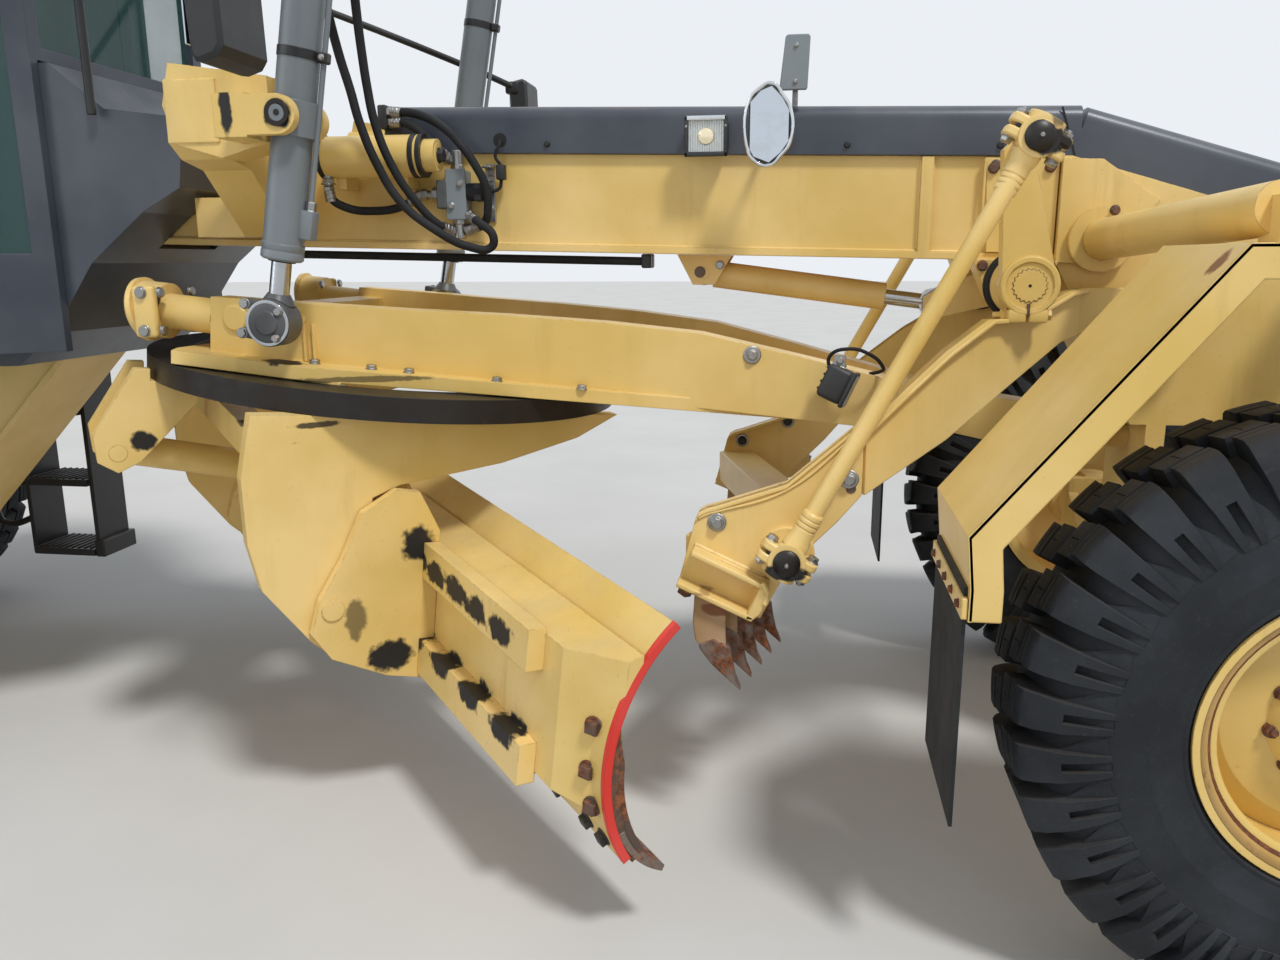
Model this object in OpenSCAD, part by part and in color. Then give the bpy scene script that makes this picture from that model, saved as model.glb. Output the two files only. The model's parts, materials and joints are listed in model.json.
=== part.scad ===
// Motor grader with a mid-mounted scarifier, in millimetres.
// X points forward, Y to the machine's left, Z up, with the ground at Z = 0.
// Inside the modules X = 0 is the front axle. placed() moves each piece to the part's own
// origin, which is the middle of the machine's length on the ground.

/* [Machine] */
// Front axle to the face of the push plate
front_reach = 930; // [850:10:1000]
// Front axle to the back of the rear bumper
rear_reach = 8100; // [8000:10:8400]
// Front axle to the middle of the tandem
wheelbase = 6480; // [6400:10:6500]
// Distance between the two wheels of a tandem
tandem_pitch = 1525; // [1500:5:1560]
// Height of the cab's roof
machine_h = 3200; // [3150:10:3300]

/* [Wheels] */
// Radius over the tread
tyre_r = 690; // [680:5:700]
// Section width of a tyre
tyre_w = 375; // [360:5:380]
// Radius of the bead seat of the rim
rim_r = 305; // [300:1:310]
// Height of the rim flange above the bead seat
rim_flange = 33; // [25:1:35]
// Middle plane of every wheel from the centreline
wheel_y = 1035; // [1030:1:1050]
// Radius of the wheel spindles
spindle_r = 60; // [50:1:65]
// Kingpin axis from the centreline
kingpin_y = 850; // [840:1:860]
// Radius of the kingpins
kingpin_r = 30; // [25:1:35]
// Number of lugs along one shoulder of a tyre
lug_count = 30; // [24:1:36]

/* [Front axle] */
// Lean pivots from the centreline
lean_y = 540; // [530:1:550]
// Height of the lean pivots
lean_z = 600; // [590:1:610]
// Height of the pins of the lean bar above the lean pivots
lean_bar_rise = 320; // [310:1:330]
// Radius of the lean pins
lean_pin_r = 35; // [30:1:38]
// Height of the oscillation pin of the axle
axle_pin_z = 760; // [740:1:780]
// Radius of the oscillation pin
axle_pin_r = 45; // [40:1:50]

/* [Front frame] */
// Half width of the beam over its webs
beam_half = 150; // [140:1:155]
// Half width of the beam's bottom flange
flange_half = 165; // [160:1:170]
// Thickness of the bottom flange
flange_t = 20; // [16:1:25]
// Depth of the beam from the bottom flange to the top of the web
beam_h = 292; // [280:1:300]
// Height of the bottom flange above the front axle
beam_z = 1653; // [1640:1:1665]
// Fall of the beam towards the front, per unit of length
beam_fall = 0.0238; // [0.02:0.001:0.03]
// Where the beam meets the nose, behind the front axle
beam_front = 450; // [430:5:470]
// Where the beam bends into the gooseneck, behind the front axle
beam_rear = 3300; // [3250:5:3350]
// Height of the cover on the beam
cover_h = 140; // [130:1:150]
// Rear end of the cover, behind the front axle
cover_rear = 2470; // [2440:5:2500]
// Articulation pin, behind the front axle
hitch_x = 4900; // [4880:5:4920]
// Radius of the articulation pins
hitch_r = 55; // [45:1:60]

/* [Drawbar and circle] */
// Drawbar ball, behind the front axle
ball_x = 260; // [250:5:270]
// Height of the drawbar ball
ball_z = 1130; // [1120:5:1140]
// Radius of the drawbar ball
ball_r = 60; // [50:1:65]
// Angle at which the raised drawbar stands, in degrees
drawbar_tilt = 6.2; // [5.8:0.1:6.6]
// Ball to the middle of the circle
circle_x = 2300; // [2280:5:2320]
// Outer radius of the circle
circle_r = 765; // [750:5:770]
// Inner radius of the circle
circle_bore = 640; // [620:5:650]
// Depth of the circle
circle_h = 70; // [60:1:75]
// Thickness of the drawbar's plate
plate_t = 38; // [34:1:40]
// Width of the drawbar's beams
draw_beam_w = 100; // [90:1:110]
// Angle of the blade from square across the machine, in degrees
blade_angle = 41; // [38:1:42]
// Middle planes of the blade arms from the middle of the circle
arm_offset = 600; // [580:5:620]
// Thickness of the blade arms
arm_t = 50; // [40:1:60]

/* [Blade] */
// Length of the moldboard
blade_l = 3100; // [3050:10:3150]
// Side shift of the moldboard as it is parked
blade_shift = 60; // [0:5:100]
// Thickness of the moldboard
blade_t = 20; // [19:0.5:22]
// Radius of the moldboard's curve
blade_r = 448; // [440:1:460]
// Height of the moldboard from its top to the bolts' edge, along the chord
blade_h = 588; // [580:1:600]
// Thickness of the cutting edge
edge_t = 16; // [13:1:19]
// Height of the cutting edge, along its curve
edge_h = 200; // [180:1:210]

/* [Lift cylinders] */
// Outer radius of a lift barrel
lift_barrel_r = 54; // [50:1:58]
// Radius of a lift rod
lift_rod_r = 27; // [24:1:30]
// Height of the tops of the lift barrels
lift_top_z = 2850; // [2800:10:2900]

/* [Scarifier] */
// Lever shaft, behind the front axle
lever_x = 570; // [568:1:572]
// Height of the lever shaft
lever_z = 1600; // [1598:1:1602]
// Radius of the lever shaft
lever_shaft_r = 42; // [38:1:44]
// Middle plane of the outer levers
lever_y = 400; // [395:1:405]
// Number of teeth
tooth_count = 11; // [9:2:11]
// Pitch of the teeth
tooth_pitch = 116; // [110:1:118]

/* [Cab] */
// Half width of the cab at its doors
cab_half = 790; // [770:5:800]
// Half width of the cab at its front
cab_front_half = 450; // [440:5:470]
// Height of the underside of the cab's floor
cab_floor_z = 1400; // [1395:1:1420]
// Thickness of the cab's walls and posts
cab_wall = 45; // [40:1:50]
// Thickness of the window panes
glass_t = 6; // [5:1:8]

/* [Hidden] */
$fn = 48;

// Running clearance of a pin in its bore, and the gap between pieces that only meet
run = 0.05;
gap = 0.5;
seat = 0.3;

// Paint and other finishes
yellow = [0.87, 0.72, 0.36];
charcoal = [0.20, 0.22, 0.25];
black = [0.07, 0.07, 0.08];
steel = [0.55, 0.56, 0.57];
barrel_grey = [0.28, 0.31, 0.36];
rust = [0.42, 0.26, 0.16];
rubber = [0.10, 0.10, 0.11];
glass = [0.55, 0.70, 0.75, 0.4];

origin_x = (rear_reach - front_reach) / 2;
middle_x = -wheelbase + tandem_pitch / 2;
rear_x = -wheelbase - tandem_pitch / 2;
tandem_inner = 620;
tandem_w = 202;

module placed() translate([origin_x, 0, 0]) children();
module both_sides() { children(); mirror([0, 1, 0]) children(); }

// An outline in X and Z, as thick as t along Y, centred on y
module side_plate(points, y, t)
  translate([0, y + t / 2, 0]) rotate([90, 0, 0]) linear_extrude(height = t) polygon(points);

// An outline in Y and Z, from x to x + t
module cross_plate(points, x, t)
  translate([x, 0, 0]) rotate([90, 0, 90]) linear_extrude(height = t) polygon(points);

// A round bar from p to q
module bar(p, q, r) {
  v = q - p;
  l = norm(v);
  translate(p) rotate([0, acos(v[2] / l), atan2(v[1], v[0])]) cylinder(r = r, h = l);
}

// A disc or pin along Y, centred on p
module y_disc(p, r, t) translate([p[0], p[1] + t / 2, p[2]]) rotate([90, 0, 0]) cylinder(r = r, h = t);

// A disc or pin along X, centred on p
module x_disc(p, r, t) translate([p[0] - t / 2, p[1], p[2]]) rotate([0, 90, 0]) cylinder(r = r, h = t);

// A box given by two opposite corners
module block(p, q) translate(p) cube(q - p);

function beam_low(x) = beam_z - beam_fall * x;
function beam_top(x) = beam_low(x) + beam_h;

// Front frame

module front_beam() color(yellow) difference() {
  union() {
    side_plate([for (p = [[-beam_rear, flange_t], [-beam_front, flange_t], [-beam_front, beam_h], [-beam_rear, beam_h]])
      [p[0], beam_low(p[0]) + p[1]]], 0, 2 * beam_half);
    side_plate([for (p = [[-beam_rear, 0], [-beam_front, 0], [-beam_front, flange_t], [-beam_rear, flange_t]])
      [p[0], beam_low(p[0]) + p[1]]], 0, 2 * flange_half);
    both_sides() {
      side_plate(mount_outline, beam_half + mount_t / 2, mount_t);
      side_plate(bearing_outline, bearing_y, bearing_t);
      side_plate(stiffener_outline, beam_half + stiffener_w / 2, stiffener_w);
      side_plate(pin_lug_outline, 0, 0.001 + pin_lug_y * 2);
    }
  }
  y_disc([-lever_x, 0, lever_z], lever_shaft_r + run, 4 * bearing_y);
  y_disc(cylinder_pin, cylinder_pin_r + run, 6 * pin_lug_y);
  block([cylinder_pin[0] - pin_slot, -pin_lug_gap, cylinder_pin[2] - pin_slot],
        [cylinder_pin[0] + pin_slot, pin_lug_gap, beam_low(cylinder_pin[0]) - 1]);
}
mount_t = 22;
mount_outline = [[-657, 1955], [-455, 1948], [-455, 1685], [-640, 1690]];
bearing_y = 200;
bearing_t = 100;
bearing_outline = [[-690, 1670], [-640, 1560], [-600, 1535], [-540, 1535], [-500, 1560], [-455, 1664]];
stiffener_w = 15;
stiffener_outline = [[-835, 1692], [-800, 1692], [-800, 1962], [-835, 1963]];
cylinder_pin = [-1476, 0, 1631];
cylinder_pin_r = 18;
pin_lug_y = 72;
pin_lug_gap = 46;
pin_slot = 120;
pin_lug_outline = [[-1560, 1689], [-1510, 1595], [-1440, 1595], [-1390, 1685]];

// Cross-section of the cover: width by height with two round upper edges
module cover_section(w, h, edge) {
  translate([-w / 2, 0]) square([w, h - edge]);
  translate([-w / 2 + edge, 0]) square([w - 2 * edge, h]);
  for (s = [-1, 1]) translate([s * (w / 2 - edge), h - edge]) circle(r = edge);
}
cover_half = 168;
cover_edge_r = 40;
cover_break = 424;
nose_fall = 17;
cover_front = 480;

// A stretch of cover from x, z that runs forward for l and falls by an angle
module cover_run(x, z, l, fall)
  translate([x, 0, z]) rotate([0, fall, 0]) rotate([90, 0, 90])
    linear_extrude(height = l) cover_section(2 * cover_half, cover_h, cover_edge_r);

module beam_cover() color(charcoal) {
  difference() {
    union() {
      cover_run(-cover_rear, beam_top(-cover_rear) + gap, cover_rear - cover_break + 20, atan(beam_fall));
      cover_run(-cover_break, beam_top(-cover_break) + gap, (cover_break + cover_front) / cos(nose_fall), nose_fall);
    }
    block([-cover_break, -300, 1500], [-cover_break + 200, 300, 1500]);
  }
}

module gooseneck() color(yellow) difference() {
  union() {
    side_plate(neck_outline, 0, 2 * beam_half);
    side_plate(neck_flange, 0, 2 * flange_half);
    for (z = hitch_levels) translate([-hitch_x, 0, z]) cylinder(r = hitch_eye_r, h = hitch_eye_t);
    for (z = hitch_levels)
      block([-hitch_x, -hitch_eye_r, z], [-hitch_front, hitch_eye_r, z + hitch_eye_t]);
  }
  translate([-hitch_x, 0, 0]) cylinder(r = hitch_r + run, h = 2000);
}
hitch_levels = [640, 1130];
hitch_eye_r = 120;
hitch_eye_t = 60;
hitch_front = 4650;
neck_outline = [[-beam_rear, beam_low(-beam_rear) + flange_t], [-3760, 1294], [-4300, 750], [-4400, 640],
  [-hitch_front, 640], [-hitch_front, 1190], [-4420, 1190], [-4250, 1230], [-3560, 1920], [-3440, 2000],
  [-beam_rear, beam_top(-beam_rear)]];
neck_flange = [[-beam_rear, beam_low(-beam_rear)], [-3750, 1275], [-4290, 730], [-4390, 620],
  [-hitch_front, 620], [-hitch_front, 640], [-4400, 640], [-4300, 750], [-3760, 1294],
  [-beam_rear, beam_low(-beam_rear) + flange_t]];

nose_half = 180;
nose_outline = [[-beam_front, beam_low(-beam_front)], [-beam_front, beam_top(-beam_front)],
  [-424, 1955], [cover_front, 1955 - (424 + cover_front) * tan(nose_fall)], [cover_front, 1240],
  [350, 1190], [-200, 1190]];
bolster = [100, 155];
bolster_outline = [[-nose_half, 1195], [-nose_half, 900], [-110, 680], [110, 680], [nose_half, 900], [nose_half, 1195]];
push_t = 40;
push_half = 550;

module frame_nose() color(yellow) {
  difference() {
    union() {
      side_plate(nose_outline, 0, 2 * nose_half);
      both_sides() side_plate([[-beam_front, 1660], [-300, 1650], [-183, 1830], [-342, 1944], [-beam_front, 1948]],
        nose_half + 5, 10);
      cross_plate(bolster_outline, bolster[0], bolster[1] - bolster[0]);
      cross_plate(bolster_outline, -bolster[1], bolster[1] - bolster[0]);
      block([bolster[1], -160, 1000], [front_reach - push_t, 160, 1215]);
      block([front_reach - push_t, -push_half, 850], [front_reach, push_half, 1260]);
      both_sides() side_plate([[bolster[1] + 200, 1000], [front_reach - push_t, 860], [front_reach - push_t, 1000]], 130, 20);
    }
    for (s = [-1, 1]) x_disc([front_reach, s * 400, 1055], 26, 4 * push_t);
  }
  x_disc([0, 0, axle_pin_z], axle_pin_r, 2 * bolster[0] + 1);
  // Pivot pins of the scarifier on bosses
  y_disc([scar_pivot[0], 0, scar_pivot[1]], scar_pin_r, 2 * (scar_eye_y[1] + 20));
  y_disc([scar_pivot[0], 0, scar_pivot[1]], 70, 2 * (scar_eye_y[0] - 5));
  // Ball of the drawbar on its stem
  difference() {
    union() {
      translate([-ball_x, 0, ball_z]) sphere(r = ball_r);
      bar([-ball_x, 0, ball_z], [-bolster[1] + 1, 0, ball_z], 38);
    }
  }
}

axle_half_t = 80;
axle_eye_r = 75;
axle_outline = [[-lean_y, lean_z + 60], [-380, 740], [-150, 860], [150, 860], [380, 740], [lean_y, lean_z + 60],
  [lean_y, lean_z - 60], [420, 540], [200, 640], [-200, 640], [-420, 540], [-lean_y, lean_z - 60]];

module front_axle() color(yellow) difference() {
  union() {
    cross_plate(axle_outline, -axle_half_t, 2 * axle_half_t);
    both_sides() x_disc([0, lean_y, lean_z], axle_eye_r, 2 * axle_half_t);
  }
  x_disc([0, 0, axle_pin_z], axle_pin_r + run, 3 * axle_half_t);
  both_sides() x_disc([0, lean_y, lean_z], lean_pin_r + run, 3 * axle_half_t);
}

// Lift yoke: a saddle over the beam with an arm to each gimbal
lift_ball = [-2602, 680, 1509];
lift_lean = [0.179, 0, 1];
gimbal_z = 2040;
gimbal = lift_ball + lift_lean * (gimbal_z - lift_ball[2]);
lift_top = lift_ball + lift_lean * (lift_top_z - lift_ball[2]);
lift_unit = lift_lean / norm(lift_lean);
saddle_x = [-2890, -2740];
saddle_outline = [[152, 1748], [300, 1748], [500, 1930], [600, 1950], [655, 1990], [655, 2150], [600, 2185],
  [500, 2150], [300, 1900], [152, 1870]];
head_outline = [[-2874, 2196], [-2901, 2088], [-2870, 1985], [-2739, 1948], [-2640, 1975], [-2590, 1985], [-2590, 2100],
  [-2525, 2112], [-2560, 2150]];
cheek_y = [578, 775];
collar_r = 66;
collar_half = 45;
trunnion_r = 24;

module lift_yoke() color(yellow) {
  both_sides() difference() {
    union() {
      cross_plate(saddle_outline, saddle_x[0], saddle_x[1] - saddle_x[0]);
      block([-3050, beam_half + gap, 1748], [saddle_x[1], 300, 1868]);
      side_plate(head_outline, 585, 130);
      block([-2680, cheek_y[0], gimbal_z - 55], [gimbal[0] - collar_r - 18, cheek_y[1], gimbal_z + 55]);
      for (y = [cheek_y[0], gimbal[1] + collar_r + 2])
        block([-2640, y, gimbal_z - 50], [gimbal[0], y + 34 - (y > 700 ? 7 : 0), gimbal_z + 50]);
      for (y = [cheek_y[0], gimbal[1] + collar_r + 2])
        y_disc([gimbal[0], y + 17 - (y > 700 ? 3.5 : 0), gimbal_z], 50, 34 - (y > 700 ? 7 : 0));
    }
    // Way for the barrel
    bar(gimbal - lift_unit * 600, gimbal + lift_unit * 900, collar_r + 3);
    block([gimbal[0] - collar_r - 18, gimbal[1] - collar_r - 2, gimbal_z - 200],
          [gimbal[0] + 200, gimbal[1] + collar_r + 2, gimbal_z + 200]);
    y_disc(gimbal, trunnion_r + run, 400);
  }
  // Strap over the beam
  block([saddle_x[0], -260, beam_top(saddle_x[0]) + gap], [saddle_x[1], 260, beam_top(saddle_x[0]) + 45]);
  both_sides() block([saddle_x[0], beam_half + gap, 1860], [saddle_x[1], 200, beam_top(saddle_x[0]) + 45]);
}

module lock_cylinder() color(yellow) {
  translate([-2640, -245, 1985]) rotate([0, 90, 0]) cylinder(r = 62, h = 330);
  x_disc([-2290, -245, 1985], 48, 40);
  for (x = [-2600, -2400]) block([x, -245, 1890], [x + 30, -beam_half - seat, 1940]);
}

// Dark console over the gooseneck
console_half = 420;
console_outline = [[-2990, 2090], [-3240, 2120], [-3410, 2255], [-3800, 2255], [-3800, 1345], [-3640, 1350],
  [-3500, 1455], [-3340, 1670], [-3150, 1820], [-3020, 1890]];
module neck_envelope(extra, half)
  side_plate([[-2900, beam_low(-2900) - 300], [-beam_rear + extra, beam_low(-beam_rear) - extra],
    [-3750, 1275 - extra], [-4290, 730 - extra], [-4700, 600], [-4700, 1200 + extra], [-4240, 1240 + extra],
    [-3550, 1930 + extra], [-3440, 2002 + extra], [-beam_rear, beam_top(-beam_rear) + extra],
    [-2900, beam_top(-2900) + extra]], 0, 2 * half);

module console() color(charcoal) difference() {
  side_plate(console_outline, 0, 2 * console_half);
  neck_envelope(gap, flange_half + gap);
}

// Cab
cab_front = 3440;
cab_corner = 3900;
cab_rear = 4780;
cab_top = machine_h - 80;
cab_plan = [[-cab_rear, -cab_half], [-cab_corner, -cab_half], [-cab_front, -cab_front_half],
  [-cab_front, cab_front_half], [-cab_corner, cab_half], [-cab_rear, cab_half]];
cab_inner = [[-cab_rear + cab_wall, -cab_half + cab_wall], [-cab_corner - 15, -cab_half + cab_wall],
  [-cab_front - cab_wall, -cab_front_half + 15], [-cab_front - cab_wall, cab_front_half - 15],
  [-cab_corner - 15, cab_half - cab_wall], [-cab_rear + cab_wall, cab_half - cab_wall]];
door_x = [-4680, -3960];
sill_z = 2270;
lintel_z = cab_top - 80;
door_z = [1450, lintel_z];

module window_cuts(grow) {
  // Windscreen
  block([-cab_front - 200, -cab_front_half + 50 - grow, sill_z + 30 - grow],
        [-cab_front + 100, cab_front_half - 50 + grow, lintel_z + grow]);
  // Rear window
  block([-cab_rear - 100, -cab_half + 90 - grow, 2000 - grow], [-cab_rear + 100, cab_half - 90 + grow, lintel_z + grow]);
}

corner_dir = [cab_corner - cab_front, cab_half - cab_front_half];
corner_angle = atan2(corner_dir[1], corner_dir[0]);
corner_l = norm(corner_dir);

// Space of the window between the front post and the door post, on the left
module quarter_cut(depth, z0, inset)
  translate([-cab_front, cab_front_half, 0]) rotate([0, 0, 180 - corner_angle])
    translate([inset, -depth, z0]) cube([corner_l - 2 * inset, 2 * depth, lintel_z - z0 + (inset < 60 ? 5 : 0)]);

// Hinges of the doors: place of the axis and heights
hinge_axis = [-4690, 812];
hinge_z = [1650, 2750];
hinge_pin_r = 8;

module cab_frame() color(charcoal) {
  cab_shell();
  both_sides() for (z = hinge_z) {
    block([-4720, cab_half - 1, z - 30], [-4682, hinge_axis[1] + 12, z]);
    translate([hinge_axis[0], hinge_axis[1], z - 10]) cylinder(r = hinge_pin_r, h = 68);
  }
}

module cab_shell() difference() {
  translate([0, 0, cab_floor_z]) linear_extrude(height = cab_top - cab_floor_z) polygon(cab_plan);
  translate([0, 0, cab_floor_z + cab_wall]) linear_extrude(height = cab_top - cab_floor_z) polygon(cab_inner);
  window_cuts(0);
  both_sides() {
    quarter_cut(100, 1700, 60);
    block([door_x[0], cab_half - 100, door_z[0]], [door_x[1], cab_half + 50, door_z[1]]);
  }
  side_plate([[-3200, 1300], [-3200, 2262], [-3801, 2262], [-3801, 1300]], 0, 2 * (console_half + 1));
  neck_envelope(15, flange_half + 15);
}

module cab_roof() color(charcoal) {
  translate([0, 0, cab_top + gap]) linear_extrude(height = machine_h - cab_top - 40 - gap)
    offset(delta = 30) polygon(cab_plan);
  translate([0, 0, machine_h - 40]) linear_extrude(height = 40) offset(delta = -60) polygon(cab_plan);
}

module cab_glass() color(glass) {
  block([-cab_front - 30, -cab_front_half + 50 + gap, sill_z + 30 + gap],
        [-cab_front - 30 + glass_t, cab_front_half - 50 - gap, lintel_z - gap]);
  block([-cab_rear + 20, -cab_half + 90 + gap, 2000 + gap],
        [-cab_rear + 20 + glass_t, cab_half - 90 - gap, lintel_z - gap]);
  both_sides() translate([-cab_front, cab_front_half, 0]) rotate([0, 0, 180 - corner_angle])
    translate([60 + gap, 15, 1700 + gap]) cube([corner_l - 120 - 2 * gap, glass_t, lintel_z - 1700 - 2 * gap]);
}

module operator_station() color(black) {
  deck = cab_floor_z + cab_wall + gap;
  // Cover over the gooseneck inside the cab
  difference() {
    block([-4180, -230, deck], [-3815, 230, 1760]);
    neck_envelope(20, flange_half + 20);
  }
  // Seat on its box
  block([-4560, -200, deck], [-4200, 200, 1800]);
  block([-4600, -250, 1800], [-4120, 250, 1920]);
  side_plate([[-4600, 1920], [-4480, 1920], [-4560, 2560], [-4660, 2560]], 0, 460);
  both_sides() block([-4500, 262, 2080], [-4130, 340, 2130]);
  both_sides() block([-4480, 250, 1860], [-4400, 300, 2080]);
  // Steering column and wheel
  bar([-3900, 0, 1759], [-4010, 0, 2150], 45);
  translate([-4010, 0, 2150]) rotate([0, -16, 0]) cylinder(r = 190, h = 25);
}

module cab_door(side) color(charcoal) scale([1, side, 1]) {
  difference() {
    block([door_x[0] + 6, cab_half - cab_wall, door_z[0] + 6], [door_x[1] - 6, cab_half, door_z[1] - 6]);
    block([door_x[0] + 70, cab_half - 100, door_z[0] + 150], [door_x[1] - 70, cab_half + 50, door_z[1] - 70]);
  }
  block([door_x[0] + 70 + gap, cab_half - 26, door_z[0] + 150 + gap],
        [door_x[1] - 70 - gap, cab_half - 26 + glass_t, door_z[1] - 70 - gap]);
  block([-4020, cab_half - 1, 1900], [-3980, cab_half + 40, 2080]);
  for (z = hinge_z) difference() {
    union() {
      translate([hinge_axis[0], hinge_axis[1], z + seat]) cylinder(r = 16, h = 55);
      block([hinge_axis[0], hinge_axis[1] - 14, z + seat], [-4610, hinge_axis[1], z + 50]);
      block([-4660, cab_half - 1, z + seat], [-4610, hinge_axis[1], z + 50]);
    }
    translate([hinge_axis[0], hinge_axis[1], z - 10]) cylinder(r = hinge_pin_r + run, h = 80);
  }
}
module cab_door_right() cab_door(-1);
module cab_door_left() cab_door(1);

module cab_steps() color(black) both_sides() {
  for (z = [380, 700, 1020]) block([-4580, 620, z], [-4280, 860, z + 30]);
  for (x = [-4600, -4280]) block([x, 640, 380], [x + 20, 840, cab_floor_z - gap]);
}

// Front fenders on their tubes
fender_t = 8;
fender_y = [770, 1235];
fender_low = [[-804, 930], [-804, 1000], [-815, 1110], [-350, 1690], [380, 1690], [640, 1400]];
fender_high = [for (i = [len(fender_low) - 1:-1:0]) fender_low[i] + [[-8, 0], [-8, 0], [-8, 4], [-4, 8], [4, 8], [8, 4]][i]];
module front_fenders() color(yellow) both_sides() {
  side_plate(concat(fender_low, fender_high), (fender_y[0] + fender_y[1]) / 2, fender_y[1] - fender_y[0]);
  bar([-330, nose_half + 26, 1723], [-170, 900, 1775], 58);
  y_disc([-333, nose_half + 21, 1722], 90, 20);
  block([-190, 860, 1697], [-160, 960, 1800]);
}

flap_t = 8;
module mud_flaps() color(rubber) both_sides()
  block([-812 - seat - flap_t, 800, 446], [-812 - seat, 1215, 1000]);

module mirrors() color(black) {
  both_sides() {
    side_plate([[-2500, 2150], [-2420, 2170], [-2440, 2520], [-2520, 2500]], 1200, 190);
    bar([-2490, 1120, 2480], [-3300, 430, 2700], 14);
    translate([-3300, 430, 2700]) sphere(r = 20);
    bar([-3300, 430, 2700], [-cab_front + seat, 430, 2700], 14);
  }
  // Spotting mirror and plate on the cover
  side_plate([[-1330, 1960], [-1270, 1930], [-1215, 1980], [-1215, 2090], [-1270, 2150], [-1330, 2110]], -330, 12);
  y_disc([-1270, -(cover_half + seat + 324) / 2, 2040], 10, 324 - cover_half - seat);
  side_plate([[-1250, 2150], [-1170, 2150], [-1165, 2300], [-1235, 2300]], -190, 14);
  bar([-1205, -115, beam_top(-1205) + cover_h + gap + 0.6], [-1205, -115, 2175], 9);
  y_disc([-1205, -151, 2170], 9, 72);
}

module work_lamps() color(black) {
  both_sides() block([-1521, beam_half + 25, 1967], [-1395, beam_half + 95, 2080]);
  both_sides() block([-1480, cover_half + gap, 2030], [-1440, beam_half + 30, 2060]);
  both_sides() block([300, 300, 1720], [420, 460, 1840]);
  both_sides() block([340, cover_half + seat, 1765], [380, 301, 1795]);
}

// Rear frame

rail_y = [330, 430];
rail_z = [760, 1050];
module rear_frame() color(yellow) {
  difference() {
    union() {
      both_sides() block([-rear_reach + 250, rail_y[0], rail_z[0]], [-5120, rail_y[1], rail_z[1]]);
      block([-5240, -rail_y[1], rail_z[0]], [-5120, rail_y[1], rail_z[1]]);
      block([-6580, -rail_y[1], rail_z[0]], [-6380, rail_y[1], rail_z[1]]);
      block([-rear_reach, -700, 700], [-rear_reach + 250, 700, 1050]);
      // Axle housing of the tandems
      y_disc([-wheelbase, 0, tyre_r - 80], 170, 2 * tandem_inner - 1);
      block([-wheelbase - 100, -rail_y[1], tyre_r - 80], [-wheelbase + 100, rail_y[1], rail_z[1]]);
      // Hitch knuckle between the gooseneck's eyes
      translate([-hitch_x, 0, hitch_levels[0] + hitch_eye_t + 5]) cylinder(r = 105, h = hitch_levels[1] - hitch_levels[0] - hitch_eye_t - 10);
      block([-5240, -100, hitch_levels[0] + hitch_eye_t + 5], [-hitch_x, 100, rail_z[1]]);
    }
    // Tow pin bore in the rear bumper
    translate([-rear_reach + 110, 0, 600]) cylinder(r = 30, h = 700);
    block([-rear_reach - 10, -150, 880], [-rear_reach + 220, 150, 960]);
  }
  translate([-hitch_x, 0, hitch_levels[0]]) cylinder(r = hitch_r, h = hitch_levels[1] + hitch_eye_t - hitch_levels[0]);
}

hood_half = 550;
hood_outline = [[-7850, rail_z[1]], [-5150, rail_z[1]], [-5150, 2300], [-5400, 2330], [-7700, 2050], [-7850, 1950]];
hood_inner = [[-7840, 1000], [-5175, 1000], [-5175, 2275], [-5400, 2300], [-7690, 2020], [-7840, 1930]];
module hood() color(yellow) difference() {
  side_plate(hood_outline, 0, 2 * hood_half);
  side_plate([for (p = hood_inner) p], 0, 2 * (hood_half - 25));
  block([-7900, -hood_half + 60, 1120], [-7800, hood_half - 60, 1900]);
  both_sides() for (i = [0:7]) block([-7500 + i * 90, hood_half - 60, 1350], [-7450 + i * 90, hood_half + 20, 1800]);
  for (e = stacks) translate([e[0], e[1], 1950]) cylinder(r = e[2] + gap, h = 800);
}
// Pipes through the top of the hood: place, radius and length above z = 2150
stacks = [[-5900, -250, 70, 625], [-6500, 250, 90, 475]];

module engine_block() color(barrel_grey)
  block([-6950, -380, rail_z[1] + seat], [-5650, 380, 1900]);

module grille() color(black) {
  difference() {
    block([-7850, -hood_half + 60 + gap, 1120 + gap], [-7830, hood_half - 60 - gap, 1900 - gap]);
    for (i = [0:8]) block([-7900, -440, 1160 + i * 80], [-7800, 440, 1200 + i * 80]);
  }
}

tandem_h = 520;
tandem_end = 230;
module tandem_cases() color(yellow) {
  both_sides() {
    difference() {
      union() {
        block([rear_x, tandem_inner, tyre_r - tandem_h / 2], [middle_x, tandem_inner + tandem_w, tyre_r + tandem_h / 2]);
        for (x = [rear_x, middle_x]) y_disc([x, tandem_inner + tandem_w / 2, tyre_r], tandem_h / 2, tandem_w);
      }
    }
    for (x = [rear_x, middle_x]) y_disc([x, tandem_inner + tandem_w + 150, tyre_r], spindle_r, 300);
  }
}

module exhaust() color(black) {
  for (e = stacks) translate([e[0], e[1], 2150]) cylinder(r = e[2], h = e[3]);
  translate([stacks[0][0], stacks[0][1], 2150 + stacks[0][3]]) cylinder(r = 45, h = 250);
}

// Wheels

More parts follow.
